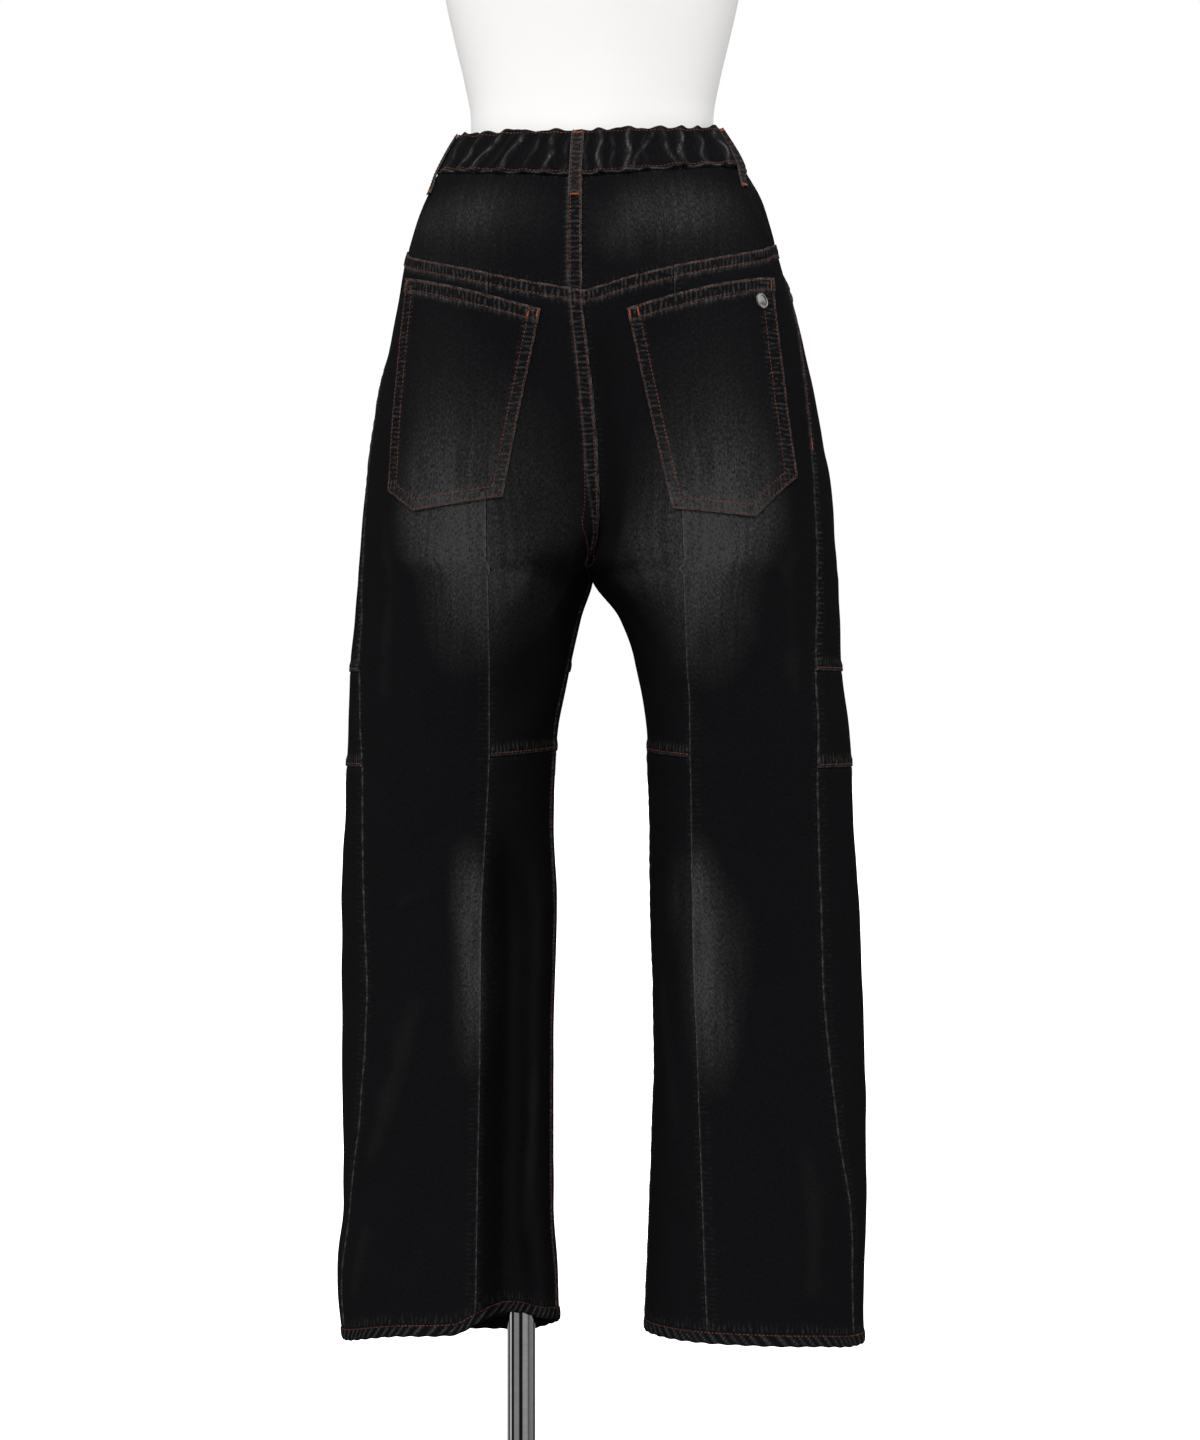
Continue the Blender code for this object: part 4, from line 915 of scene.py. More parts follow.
def q_at(leg, face, x, z):
    """The way round at which the skin of one face has the outward distance x at height z."""
    x, z = np.broadcast_arrays(np.asarray(x, float), np.asarray(z, float))
    low, high = np.zeros(x.shape), np.ones(x.shape)
    for _ in range(BISECTIONS):
        middle = 0.5 * (low + high)
        reach = half_section(leg, face, middle, z)[0]
        low = np.where(reach < x, middle, low)
        high = np.where(reach < x, high, middle)
    share = 0.5 * (low + high)
    outseam = half_section(leg, face, share, z)[2]
    way = share if face == "back" else 2.0 - share
    return np.where(way < outseam, way / outseam, 1.0 + (way - outseam) / (2.0 - outseam))


def span(q, leg, z):
    """How much of the way round one metre of cloth takes."""
    ahead = np.clip(q + SLOPE_STEP_ROUND, 0.0, 2.0)
    behind = np.clip(q - SLOPE_STEP_ROUND, 0.0, 2.0)
    reach = np.linalg.norm(skin_point(leg, ahead, z) - skin_point(leg, behind, z), axis=-1)
    return (ahead - behind) / reach


def girth_table(leg):
    """The cloth's length round the back and round the front at a ladder of heights."""
    heights = np.linspace(GIRTH_LOW, GIRTH_HIGH, GIRTH_ROWS)
    lengths = []
    for first, last in ((0.0, 1.0), (1.0, 2.0)):
        q = np.linspace(first, last, GIRTH_SAMPLES)[None, :] + 0.0 * heights[:, None]
        points = skin_point(leg, q, heights[:, None] + 0.0 * q)
        lengths.append(np.linalg.norm(np.diff(points, axis=1), axis=2).sum(axis=1))
    return heights, *lengths


# The girths and the centre-leg seam's way round, read once
GIRTHS = {leg: girth_table(leg) for leg in OUTWARD}
SEAM_LADDER = np.linspace(GIRTH_LOW, LADDER_TOP, LADDER_STEPS)
CENTRE_LEG = {leg: q_at(leg, "back", along(CENTRE_LEG_SEAM, leg, SEAM_LADDER), SEAM_LADDER)
              for leg in OUTWARD}


def centre_leg_q(leg, z):
    """The way round of the centre-leg seam."""
    return np.interp(z, SEAM_LADDER, CENTRE_LEG[leg])


def girth(leg, q, z):
    """The cloth's length from the centre back or inseam round to q."""
    heights, back, front = GIRTHS[leg]
    behind = np.interp(z, heights, back) * np.minimum(q, 1.0)
    return behind + np.interp(z, heights, front) * np.maximum(q - 1.0, 0.0)


def cut_map(leg, q, z):
    """The place on the flat cut: across from the centre-leg seam, or the front's middle, and up."""
    heights, back, front = GIRTHS[leg]
    behind = np.interp(z, heights, back) * (q - centre_leg_q(leg, z))
    ahead = FRONT_MAP_START + np.interp(z, heights, front) * (q - FRONT_MIDDLE_Q)
    return np.stack((np.where(q < 1.0, behind, ahead), z + 0.0 * q), axis=-1)


def ripple(across, up, size, seed):
    """A smooth uneven field from about -1 to 1, with swells of one size."""
    random = np.random.default_rng(seed)
    field = 0.0
    for _ in range(RIPPLE_WAVES):
        way = random.uniform(0.0, 2.0 * math.pi)
        pace = 2.0 * math.pi * random.uniform(*RIPPLE_PACES) / size
        swell = across * math.cos(way) + up * math.sin(way)
        field = field + np.sin(pace * swell + random.uniform(0.0, RIPPLE_STARTS))
    return field / math.sqrt(RIPPLE_WAVES) * RIPPLE_LEVEL


def creasing(leg, q, z):
    """The height of the creases and of the cloth's unevenness."""
    across = girth(leg, q, z)
    height = UNEVEN_HEIGHT * ripple(across, z, UNEVEN_SIZE, UNEVEN_SEEDS[leg])
    for crease_leg, q_top, z_top, q_bottom, z_bottom, width, depth in CREASES[1:]:
        if crease_leg != leg:
            continue
        start = girth(leg, q_top, z)
        run = girth(leg, q_bottom, z) - start
        drop = z_bottom - z_top
        length = np.hypot(run, drop)
        share = ((across - start) * run + (z - z_top) * drop) / length ** 2
        off = ((across - start) * drop - (z - z_top) * run) / length
        ends = ease(share / CREASE_END) * ease((1.0 - share) / CREASE_END)
        height = height + depth * ends * bell(off, width)
    return height * ease(np.minimum(q, 2.0 - q) / CREASE_CENTRE_EASE)


def fading(leg, q, z):
    """How far the wash has lightened the cloth, from 0 to 1."""
    across = girth(leg, q, z)
    dark = np.ones_like(across)
    for fade_leg, fade_q, fade_z, half_width, half_height, strength in FADES[1:]:
        if fade_leg != leg:
            continue
        aside = (across - girth(leg, fade_q, z)) / half_width
        far = aside ** 2 + ((z - fade_z) / half_height) ** 2
        dark = dark * (1.0 - strength * np.exp(-far))
    return np.clip((1.0 - dark - FADE_FLOOR) / (1.0 - FADE_FLOOR), 0.0, 1.0)


def spread(length, step_count, marks):
    """Places along each length: marks from both ends and even steps between them."""
    marks = np.array(marks)
    fit = np.minimum(1.0, MARKS_REACH * length / marks[-1])[..., None]
    first = marks * fit
    last = length[..., None] - first[..., ::-1]
    share = np.linspace(0.0, 1.0, step_count + 2)[1:-1]
    middle = first[..., -1:] + (last[..., :1] - first[..., -1:]) * share
    return np.concatenate((first, middle, last), axis=-1)


def width_between(leg, first, last, z):
    """The cloth's length between two lines of the way round at one height."""
    q = first[..., None] + (last - first)[..., None] * np.linspace(0.0, 1.0, WIDTH_SAMPLES)
    points = skin_point(leg, q, z[..., None] + 0.0 * q)
    return np.linalg.norm(np.diff(points, axis=-2), axis=-1).sum(axis=-1)


def edge_effect(kind, off, run, seed):
    """The lift, wear and pucker weight that one sewn edge gives the cloth at a distance off it."""
    edge = EDGE_KINDS[kind]
    uneven = PUCKER_UNEVEN * np.sin(2.0 * math.pi * run / (PUCKER_SWELL * edge["pitch"]) + seed)
    wave = np.sin(2.0 * math.pi * (run / edge["pitch"] + uneven))
    zone = ease(off / PUCKER_START) * (1.0 - ease((off - edge["width"]) / edge["reach"]))
    lift = edge["lift"] * (1.0 - ease((off - edge["width"]) / edge["soft"]))
    lift = lift + edge["pucker"] * wave * zone - edge["edge"] * (1.0 - ease(off / EDGE_ROUND))
    for row in edge["rows"]:
        lift = lift - ROW_GROOVE * bell(off - row, ROW_GROOVE_WIDTH)
    wear = edge["line"] * bell(off, LINE_WIDTH)
    if kind == "felled":
        second = bell(off - edge["width"], SECOND_LINE_WIDTH * LINE_WIDTH)
        wear = wear + SECOND_LINE_WEAR * edge["line"] * second
    return lift, wear * (WEAR_BASE + (1.0 - WEAR_BASE) * wave), edge["crest"] * zone


def quads(grid):
    """The four corners of each cell of a grid, in order round it."""
    corners = (grid[:-1, :-1], grid[:-1, 1:], grid[1:, 1:], grid[1:, :-1])
    return np.stack(corners, axis=2).reshape(-1, 4, *grid.shape[2:])


def add_object(name, data):
    """An object in the scene for a mesh, a lamp or a lens."""
    made = bpy.data.objects.new(name, data)
    bpy.context.scene.collection.objects.link(made)
    return made


def cloth_mesh(name, points, faces, cloth, marks, reverse):
    """A cloth object with its map, cloth, at each face's corners and its marks at each point."""
    a, b, c, d = (points[faces[:, corner]] for corner in range(4))
    if (np.cross(a - c, b - d) * (a + b + c + d)).sum() < 0.0:
        faces = faces[:, ::-1]
        cloth = cloth[:, ::-1]
    mesh = bpy.data.meshes.new(name)
    mesh.from_pydata(points.tolist(), [], faces.tolist())
    for mark_name, values in (*marks.items(), ("reverse", reverse)):
        attribute = mesh.attributes.new(mark_name, "FLOAT", "POINT")
        attribute.data.foreach_set("value", values.reshape(-1).astype(np.float32))
    uv = mesh.uv_layers.new(name="cloth")
    uv.data.foreach_set("uv", cloth.reshape(-1).astype(np.float32))
    mesh.shade_smooth()
    mesh.set_sharp_from_angle(angle=math.radians(CLOTH_SHARP_DEGREES))
    return add_object(name, mesh)


def shell(name, outer, inner, cloth, marks):
    """A closed shell between two grids of points."""
    rows, columns = outer.shape[:2]
    size = rows * columns
    index = np.arange(size).reshape(rows, columns)
    face = quads(index)
    rims = [(index[0, :-1], index[0, 1:]), (index[-1, 1:], index[-1, :-1]),
            (index[1:, 0], index[:-1, 0]), (index[:-1, -1], index[1:, -1])]
    sides = [np.stack((a, a + size, b + size, b), axis=-1) for a, b in rims]
    faces = np.concatenate([face, face[:, ::-1] + size, *sides])
    points = np.concatenate((outer.reshape(-1, 3), inner.reshape(-1, 3)))
    corners = np.tile(cloth.reshape(-1, 2), (2, 1))[faces]
    both = {key: np.tile(values.reshape(-1), 2) for key, values in marks.items()}
    return cloth_mesh(name, points, faces, corners, both, np.repeat((0.0, 1.0), size))


def cloth_marks(z, fade, wear, pucker_across=0.0, pucker_up=0.0):
    """The cloth's marks at each point of a piece whose heights are z."""
    marks = {"fade": fade, "wear": wear, "pucker_across": pucker_across, "pucker_up": pucker_up}
    return {name: value + 0.0 * z for name, value in marks.items()}


def panel(node, leg, low, high, first, last, edges, rests_on, proud=0.0, wall=DENIM_WALL):
    """One cut piece of denim. edges names the sewn edge at its foot, head, first and last side."""
    middle_q = 0.5 * (first(np.array([MIDDLE_Z])) + last(np.array([MIDDLE_Z])))
    guess = np.linspace(low(middle_q)[0], high(middle_q)[0], GUESS_ROWS)
    widest = width_between(leg, first(guess), last(guess), guess).max()
    round_q = np.linspace(0.0, 2.0, TALL_SAMPLES)
    tallest = (high(round_q) - low(round_q)).max()
    columns = max(3, int(round((widest - 2 * EDGE_MARKS[-1]) / STEP_ROUND)))
    rows = max(3, int(round((tallest - 2 * EDGE_MARKS[-1]) / STEP_UP)))
    level = spread(np.array([guess[-1] - guess[0]]), rows, EDGE_MARKS)[0] + guess[0]
    z = None
    for _ in range(PANEL_PASSES):
        width = width_between(leg, first(level), last(level), level)
        off = spread(width, columns, EDGE_MARKS)
        share = off / width[:, None]
        if z is None:
            z = level[:, None] + 0.0 * share
        q = first(z) * (1.0 - share) + last(z) * share
        bottom = low(q[0]) + HALF_GAP
        top = high(q[-1]) - HALF_GAP
        up = spread(top - bottom, rows, EDGE_MARKS).T
        z = bottom + up
        level = z.mean(axis=1)
    height = (top - bottom)[None, :] + 0.0 * z
    across = girth(leg, q, z)
    ways = ((up, across), (height - up, across), (off, z), (width[:, None] - off, z))
    relief = creasing(leg, q, z)
    lift = relief + proud
    wear = np.clip(relief - CREASE_WEAR_FROM, 0.0, 1.0) * CREASE_WEAR
    puckers = [np.zeros_like(z), np.zeros_like(z)]
    for number, (kind, (away, run)) in enumerate(zip(edges, ways)):
        raised, worn, weight = edge_effect(kind, away, run, number + 2.0 * len(node))
        lift = lift + raised
        wear = wear + worn
        side = 0 if number < 2 else 1
        puckers[side] = np.maximum(puckers[side], weight)
    outer = skin(leg, q, z, lift)
    inner = skin(leg, q, z, relief + proud - wall)
    # Painted shade: the inner back panels keep only a share of the fade, so they stay darker as if shaded
    fade = INNER_PAINTED_SHADE.get(node.rsplit("_", 1)[0], 1.0) * fading(leg, q, z)
    marks = cloth_marks(z, fade, np.clip(wear, 0.0, 1.0), *puckers)
    return cloth_piece(node, outer, inner, cut_map(leg, q, z), marks, "hung", rests_on)


def mouth_q(z):
    """The edge of the front pocket's mouth, from the outseam up to the waist seam."""
    head = along(WAIST_SEAM, "z", 1.0 + MOUTH_SHARE)
    share = np.clip((z - MOUTH_FOOT_Z) / (head - MOUTH_FOOT_Z), 0.0, 1.0)
    return 1.0 + MOUTH_SHARE * share ** MOUTH_CURVE


def build_hem(leg):
    """The turned-up hem: a soft roll of doubled cloth, roped by its own sewing."""
    columns = int(round(girth(leg, 2.0, hem_edge(leg, 0.5)) / HEM_STEP))
    q = np.linspace(0.0, 2.0, columns + 1)
    turn = np.linspace(0.0, math.pi, HEM_ROLL)
    side = np.linspace(HEM_HEIGHT, HEM_ROLL_RADIUS, HEM_SIDE_ROWS)
    inside = side[-3::-2]
    heights = np.concatenate((side[:-1], HEM_ROLL_RADIUS * (1.0 - np.sin(turn)), inside))[:, None]
    shares = np.concatenate((np.ones(len(side) - 1), np.cos(turn), -np.ones(len(inside))))[:, None]
    z = hem_edge(leg, q) + heights
    grid_q = q + 0.0 * z
    across = girth(leg, grid_q, z)
    slant = across + HEM_SLANT * heights
    uneven = sum(size * np.sin(slant / (pitches * HEM_ROPE_PITCH) + start)
                 for size, pitches, start in HEM_SWELLS)
    wave = np.sin(2.0 * math.pi * (slant / HEM_ROPE_PITCH + uneven))
    outside = np.clip(shares, 0.0, 1.0)
    belly = np.sin(math.pi * np.clip(heights / HEM_HEIGHT, 0.0, 1.0))
    rope = HEM_ROPE_HEIGHT * wave * (HEM_ROPE_FLAT + (1.0 - HEM_ROPE_FLAT) * belly) * outside
    lift = HEM_PROUD - 0.5 * HEM_WALL + 0.5 * HEM_WALL * shares + rope
    sag = HEM_ROPE_SAG * np.sin(2.0 * math.pi * across / (HEM_SAG_PITCHES * HEM_ROPE_PITCH))
    sag = sag * (heights < HEM_SAG_HEIGHT)
    outer = skin(leg, grid_q, z + sag, lift + creasing(leg, grid_q, z))
    crest = np.clip(wave, 0.0, 1.0) ** 3 * outside * (HEM_WEAR_FLAT + (1.0 - HEM_WEAR_FLAT) * belly)
    marks = cloth_marks(z, HEM_FADE * fading(leg, grid_q, z), np.clip(HEM_WEAR * crest, 0.0, 1.0))
    rows = len(heights)
    index = np.arange(rows * columns).reshape(rows, columns)
    index = np.concatenate((index, index[:, :1]), axis=1)
    cloth = np.stack((across, z), axis=-1)
    faces = quads(np.concatenate((index, index[:1])))
    corners = quads(np.concatenate((cloth, cloth[:1])))
    points = outer[:, :-1].reshape(-1, 3)
    marks = {name: values[:, :-1] for name, values in marks.items()}
    made = cloth_mesh(f"hem_{leg}_cloth", points, faces, corners, marks, np.zeros(len(points)))
    keep_piece(made, f"hem_{leg}", outer[: rows // 2 + 1], "folded", [f"front_lower_{leg}_cloth"])


def build_pocket(leg):
    """A five-sided patch pocket with a hemmed mouth and twin-sewn edges."""
    width, height = POCKET_SIZE
    across = spread(np.array([width]), POCKET_COLUMNS, EDGE_MARKS)[0] / width
    across = np.sort(np.append(across, POCKET_POINT_SHARE))
    down = spread(np.array([height]), POCKET_ROWS, EDGE_MARKS)[0] / height
    across, down = np.meshgrid(across, down)
    place = pocket_place(leg, across, down)
    z = place[..., 1]
    q = q_at(leg, "back", place[..., 0], z)
    run = girth(leg, q, z)
    base = creasing(leg, q, z) + PATCH_LIFT
    belly = np.sin(math.pi * across) ** POCKET_BELLY_CURVE * np.sin(math.pi * down)
    lift = base + PATCH_WALL + POCKET_BELLY * belly
    marks = cloth_marks(z, fading(leg, q, z), 0.0)
    sides = (
        ("felled", down * height, run, "pucker_across"),
        ("patch", (1 - down) * height, run, "pucker_across"),
        ("patch", across * width, z, "pucker_up"),
        ("patch", (1 - across) * width, z, "pucker_up"),
    )
    for number, (kind, off, way, pucker) in enumerate(sides):
        raised, worn, weight = edge_effect(kind, off, way, float(number))
        lift = lift + raised
        marks["wear"] = np.clip(marks["wear"] + worn, 0.0, 1.0)
        marks[pucker] = np.maximum(marks[pucker], weight)
    outer = skin(leg, q, z, lift)
    inner = skin(leg, q, z, base)
    under = [f"back_outer_{leg}_cloth", f"back_inner_upper_{leg}_cloth"]
    cloth = cut_map(leg, q, z) + POCKET_MAP_SHIFT
    cloth_piece(f"back_pocket_{leg}", outer, inner, cloth, marks, "laid", under)


def flat_size(grid):
    """The widest row and the longest column of a grid, and its area."""
    wide = np.linalg.norm(np.diff(grid, axis=1), axis=2).sum(axis=1).max()
    long = np.linalg.norm(np.diff(grid, axis=0), axis=2).sum(axis=0).max()
    diagonals = np.cross(grid[1:, 1:] - grid[:-1, :-1], grid[1:, :-1] - grid[:-1, 1:])
    return wide, long, 0.5 * np.linalg.norm(diagonals, axis=2).sum()


def keep_piece(made, node, face, held, rests_on):
    """Notes a cloth piece with the flat size of its face, and hides the node that it stands for."""
    PIECES[made.name] = {"object": made, "flat": flat_size(face), "held": held, "rests_on": rests_on}
    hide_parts(node)


def cloth_piece(node, outer, inner, cloth, marks, held, rests_on):
    """A finished cloth piece that stands for its node, kept with its flat size."""
    made = shell(f"{node}_cloth", outer, inner, cloth, marks)
    keep_piece(made, node, outer, held, rests_on)
    return made


def build_panels(leg):
    """All the cut pieces of one leg below the waistband."""
    def hem_top(q):
        return hem_edge(leg, q) + HEM_HEIGHT

    def knee(q):
        return along(KNEE_SEAM, "z", q)

    def knee_top(q):
        return KNEE_TOP_Z + 0.0 * q

    def yoke(q):
        return along(YOKE_SEAM, "z", q)

    def waist(q):
        return along(WAIST_SEAM, "z", q)

    def band_top(q):
        return along(WAIST_TOP, "z", q)

    def centre(z):
        return GAP_Q + 0.0 * z

    def inside(z):
        return centre_leg_q(leg, z) - GAP_Q

    def outside(z):
        return centre_leg_q(leg, z) + GAP_Q

    def outseam_back(z):
        return 1.0 - GAP_Q + 0.0 * z

    def outseam_front(z):
        return 1.0 + GAP_Q + 0.0 * z

    def centre_front(z):
        return 2.0 - GAP_Q + 0.0 * z

    def mouth_edge(z):
        return np.maximum(mouth_q(z), 1.0) + GAP_Q

    def facing_low(q):
        return MOUTH_FOOT_Z + FACING_RISE + 0.0 * q

    def facing_edge(z):
        return mouth_q(z) + FACING_UNDERLAP * span(mouth_q(z), leg, z)

    rise = "felled" if leg == "left" else "under"
    form = ["dress_form"]
    panel(f"yoke_{leg}", leg, yoke, waist, centre, outseam_back, ("under", "under", rise, "under"), form)
    panel(f"back_outer_{leg}", leg, hem_top, yoke, outside, outseam_back,
          ("hemmed", "felled", "pressed", "under"), [f"yoke_{leg}_cloth"])
    panel(f"back_inner_upper_{leg}", leg, knee, yoke, centre, inside,
          ("lapped", "felled", rise, "under"), [f"yoke_{leg}_cloth"])
    panel(f"back_inner_lower_{leg}", leg, hem_top, knee, centre, inside,
          ("hemmed", "under", "felled", "under"), [f"back_inner_upper_{leg}_cloth"])
    panel(f"pocket_facing_{leg}", leg, facing_low, waist, outseam_front, facing_edge,
          ("plain", "under", "under", "plain"), form, proud=-FACING_SINK)
    panel(f"front_upper_{leg}", leg, knee_top, waist, mouth_edge, centre_front,
          ("lapped", "under", "lapped", "under"), form)
    panel(f"front_knee_{leg}", leg, knee, knee_top, outseam_front, centre_front,
          ("lapped", "under", "pressed", "under"), [f"front_upper_{leg}_cloth"])
    panel(f"front_lower_{leg}", leg, hem_top, knee, outseam_front, centre_front,
          ("hemmed", "under", "pressed", "under"), [f"front_knee_{leg}_cloth"])
    panel(f"waistband_front_{leg}", leg, waist, band_top, outseam_front, centre_front,
          ("lapped", "lapped", "plain", "plain"), form, proud=BAND_PROUD, wall=BAND_WALL)


def gather_crest(x, z, low, high):
    """The worn line along each gather's crest, from 0 to 1."""
    share = np.clip((z - low) / (high - low), 0.0, 1.0)
    line = np.zeros_like(x)
    for x_top, x_bottom, height in GATHERS[1:]:
        sway = CREST_SWAY * np.sin(CREST_SWAY_PACE * share + CREST_SWAY_START * x_top)
        middle = x_bottom + (x_top - x_bottom) * share + sway
        ends = 1.0 - CREST_END_LOSS * np.abs(2.0 * share - CREST_PEAK) ** 2
        strength = (max(height - GATHER_FAINTEST, 0.0) / (GATHER_TALLEST - GATHER_FAINTEST)) ** CREST_CURVE
        line = np.maximum(line, strength * ends * bell(x - middle, CREST_WIDTH))
    return np.clip(line, 0.0, 1.0)


def edge_wave(across, height, size, sway, sway_size):
    """The uneven line of the gathered band's edge: a wave of one height and size, swaying on a longer one."""
    return height * np.sin(across / size + sway * np.sin(across / sway_size))


def build_back_band():
    """The back waistband, gathered over its elastic from side to side."""
    half = np.linspace(0.0, 1.0 - GAP_Q, BAND_COLUMNS + 1)
    shares = np.array([*BAND_FOOT_LEVELS, *np.linspace(*BAND_MIDDLE_LEVELS, BAND_ROWS), *BAND_HEAD_LEVELS])
    sides = []
    for leg, way in (("left", half[::-1]), ("right", half[1:])):
        q = way + 0.0 * shares[:, None]
        low = along(WAIST_SEAM, "z", q)
        high = along(WAIST_TOP, "z", q)
        across = girth(leg, q, low) * OUTWARD[leg]
        low = low + edge_wave(across, *BAND_LOW_WAVE)
        high = high + edge_wave(across, *BAND_TOP_WAVE)
        z = low + (high - low) * shares[:, None]
        x = skin_point(leg, q, z)[..., 0]
        gather = GATHER_PUFF * gather_height(x, z, low, high)
        fold = gather + BAND_RIPPLE * ripple(across, 0.5 * z, BAND_RIPPLE_SIZE, BAND_RIPPLE_SEED)
        for off in (z - low, high - z):
            fold = fold - BAND_GROOVE * bell(off - LAP_ROW, BAND_GROOVE_WIDTH)
        edge = bell(z - low, BAND_LOW_EDGE) + BAND_TOP_EDGE_WEAR * bell(high - z, BAND_TOP_EDGE)
        breaks = BAND_WEAR_BREAKS * ripple(across, z, BAND_WEAR_SIZE, BAND_WEAR_SEED)
        broken = np.clip(BAND_WEAR_EVEN + breaks, 0.0, 1.0)
        crest = gather_crest(x, z, low, high)
        wear = np.clip(BAND_CREST_WEAR * crest * broken + BAND_EDGE_WEAR * edge * broken, 0.0, 1.0)
        # Painted light and shade: the fade is raised on the gathers' crests and lowered in their valleys
        fade = BAND_FADE * fading(leg, q, z) + BAND_GATHER_PAINTED_LIGHT * (gather - BAND_GATHER_PAINTED_LIGHT_FROM)
        marks = cloth_marks(z, np.clip(fade, 0.0, BAND_FADE_MOST), wear, BAND_PUCKER)
        inside = BAND_PROUD + BAND_INSIDE_GATHER * gather - (BAND_WALL + BAND_INSIDE_WALL)
        outer = skin(leg, q, z, BAND_PROUD + fold)
        sides.append((outer, skin(leg, q, z, inside), np.stack((across, z), axis=-1), marks))
    outer, inner, cloth = (np.concatenate((sides[0][part], sides[1][part]), axis=1) for part in range(3))
    marks = {name: np.concatenate((sides[0][3][name], sides[1][3][name]), axis=1) for name in sides[0][3]}
    return cloth_piece("waistband_back", outer, inner, cloth, marks, "gathered", ["dress_form"])


def build_loop(name, leg, top, foot, gathered):
    """A belt loop: a narrow strip over the band, sewn down above and below it."""
    rows = np.linspace(0.0, 1.0, LOOP_ROWS + 1)
    high = along(WAIST_TOP, "z", top) - LOOP_BELOW_TOP
    low = along(WAIST_SEAM, "z", foot) - LOOP_BELOW_SEAM
    z = high + (low - high) * rows
    middle = top + (foot - top) * rows
    across = np.array(LOOP_ACROSS) * LOOP_WIDTH
    way = middle[:, None] + across * span(middle, leg, z)[:, None]
    seam = along(WAIST_SEAM, "z", foot)
    on_band = ease((z - seam) / (LOOP_DROP_SHARE * LOOP_BELOW_SEAM) + 1.0)
    bulge = BAND_PROUD * on_band + LOOP_STAND * (1.0 + np.sin(math.pi * rows))
    if gathered:
        reach = skin_point(leg, middle, z)[:, 0:1] + LOOP_GATHER_REACH * across
        lifts = gather_height(reach, z[:, None], seam, high)
        over = np.max(lifts, axis=1)[:, None] * LOOP_TAUT + lifts * (1.0 - LOOP_TAUT)
        bulge = bulge[:, None] + over * on_band[:, None]
    level = z[:, None] + 0.0 * way
    bulge = bulge.reshape(len(z), -1) + 0.0 * way
    edge = np.abs(np.array(LOOP_ACROSS)) * 2.0
    round_over = LOOP_ROUND * ease((edge - LOOP_ROUND_FROM) / (1.0 - LOOP_ROUND_FROM))
    groove = LOOP_GROOVE * bell(edge - LOOP_ROW_SHARE, LOOP_GROOVE_WIDTH)
    outer = skin(leg, way, level, bulge + LOOP_WALL - round_over - groove)
    inner = skin(leg, way, level, bulge)
    wear = LOOP_WEAR * ease((edge - LOOP_WEAR_FROM) / (1.0 - LOOP_WEAR_FROM))
    marks = cloth_marks(level, LOOP_FADE, wear, pucker_up=LOOP_PUCKER)
    cloth = np.stack((girth(leg, way, level), level), axis=-1)
    LOOP_LINES[name] = (leg, middle, z)
    band = "waistband_back_cloth" if gathered else f"waistband_front_{leg}_cloth"
    return cloth_piece(name, outer, inner, cloth, marks, "laid", [band])


def pocket_place(leg, across, down):
    """x and z of a back pocket's points, across from its inner edge and down from its top."""
    corner = {key: np.array(value) for key, value in POCKET_CORNERS[leg].items()}
    across = across[..., None]
    down = down[..., None]
    top = corner["top_inner"] * (1 - across) + corner["top_outer"] * across
    share = np.clip(across / POCKET_POINT_SHARE, 0.0, 1.0)
    beyond = np.clip((across - POCKET_POINT_SHARE) / (1 - POCKET_POINT_SHARE), 0.0, 1.0)
    foot = corner["low_inner"] * (1 - share) + corner["point"] * share
    far_foot = corner["point"] * (1 - beyond) + corner["low_outer"] * beyond
    foot = np.where(across > POCKET_POINT_SHARE, far_foot, foot)
    return top * (1 - down) + foot * down


def fly_width(down):
    """What the fly keeps of its width at a share of its length."""
    return 1.0 - FLY_NARROWING * ease((down - FLY_STRAIGHT_SHARE) / (1.0 - FLY_STRAIGHT_SHARE))


def build_fly():
    """The front placket, on the wearer's left of the centre front."""
    columns = FLY_WIDTH * np.linspace(0.0, 1.0, FLY_COLUMNS + 1)
    downs = np.linspace(0.0, 1.0, FLY_ROWS + 1)[:, None]
    top = along(WAIST_SEAM, "z", FLY_Q) - FLY_BELOW_SEAM
    x = FLY_INSET + columns * fly_width(downs)
    z = top - FLY_LENGTH * downs + 0.0 * columns
    q = q_at("left", "front", x, z)
    edge = np.minimum(columns, FLY_WIDTH - columns) + 0.0 * z
    soft = FLY_ROUND * (1.0 - ease(edge / FLY_ROUND_WIDTH))
    relief = creasing("left", q, z)
    outer = skin("left", q, z, relief + PATCH_LIFT + PATCH_WALL - soft)
    inner = skin("left", q, z, relief + PATCH_LIFT)
    pucker = FLY_PUCKER * (1.0 - ease((edge - FLY_PUCKER_WIDTH) / FLY_PUCKER_SOFT))
    marks = cloth_marks(z, fading("left", q, z), FLY_WEAR * bell(edge, LINE_WIDTH), pucker_up=pucker)
    cloth = np.stack((girth("left", q, z), z), axis=-1)
    return cloth_piece("fly", outer, inner, cloth, marks, "laid", ["front_upper_left_cloth"])


def sewn_path(surface, leg, q, z):
    """Points on the finished cloth under a line of the skin, with the cloth's own slope at each."""
    q, z = np.broadcast_arrays(np.asarray(q, float), np.asarray(z, float))
    high = skin(leg, q, z, RAY_START)
    way = skin(leg, q, z, 0.0) - high
    points = []
    for start, direction in zip(high, way):
        place, slope, _, _ = surface.ray_cast(Vector(start), Vector(direction), 2.0 * RAY_START)
        if place is not None:
            points.append((place - THREAD_SINK * slope, slope))
    return points


def line(leg, ends):
    """A dense line of q and z between the ends that a path function gives at shares from 0 to 1."""
    q, z = ends(np.linspace(0.0, 1.0, 3))
    points = skin_point(leg, q, z)
    steps = max(3, int(np.linalg.norm(np.diff(points, axis=0), axis=1).sum() / SEW_STEP))
    return ends(np.linspace(0.0, 1.0, steps + 1))


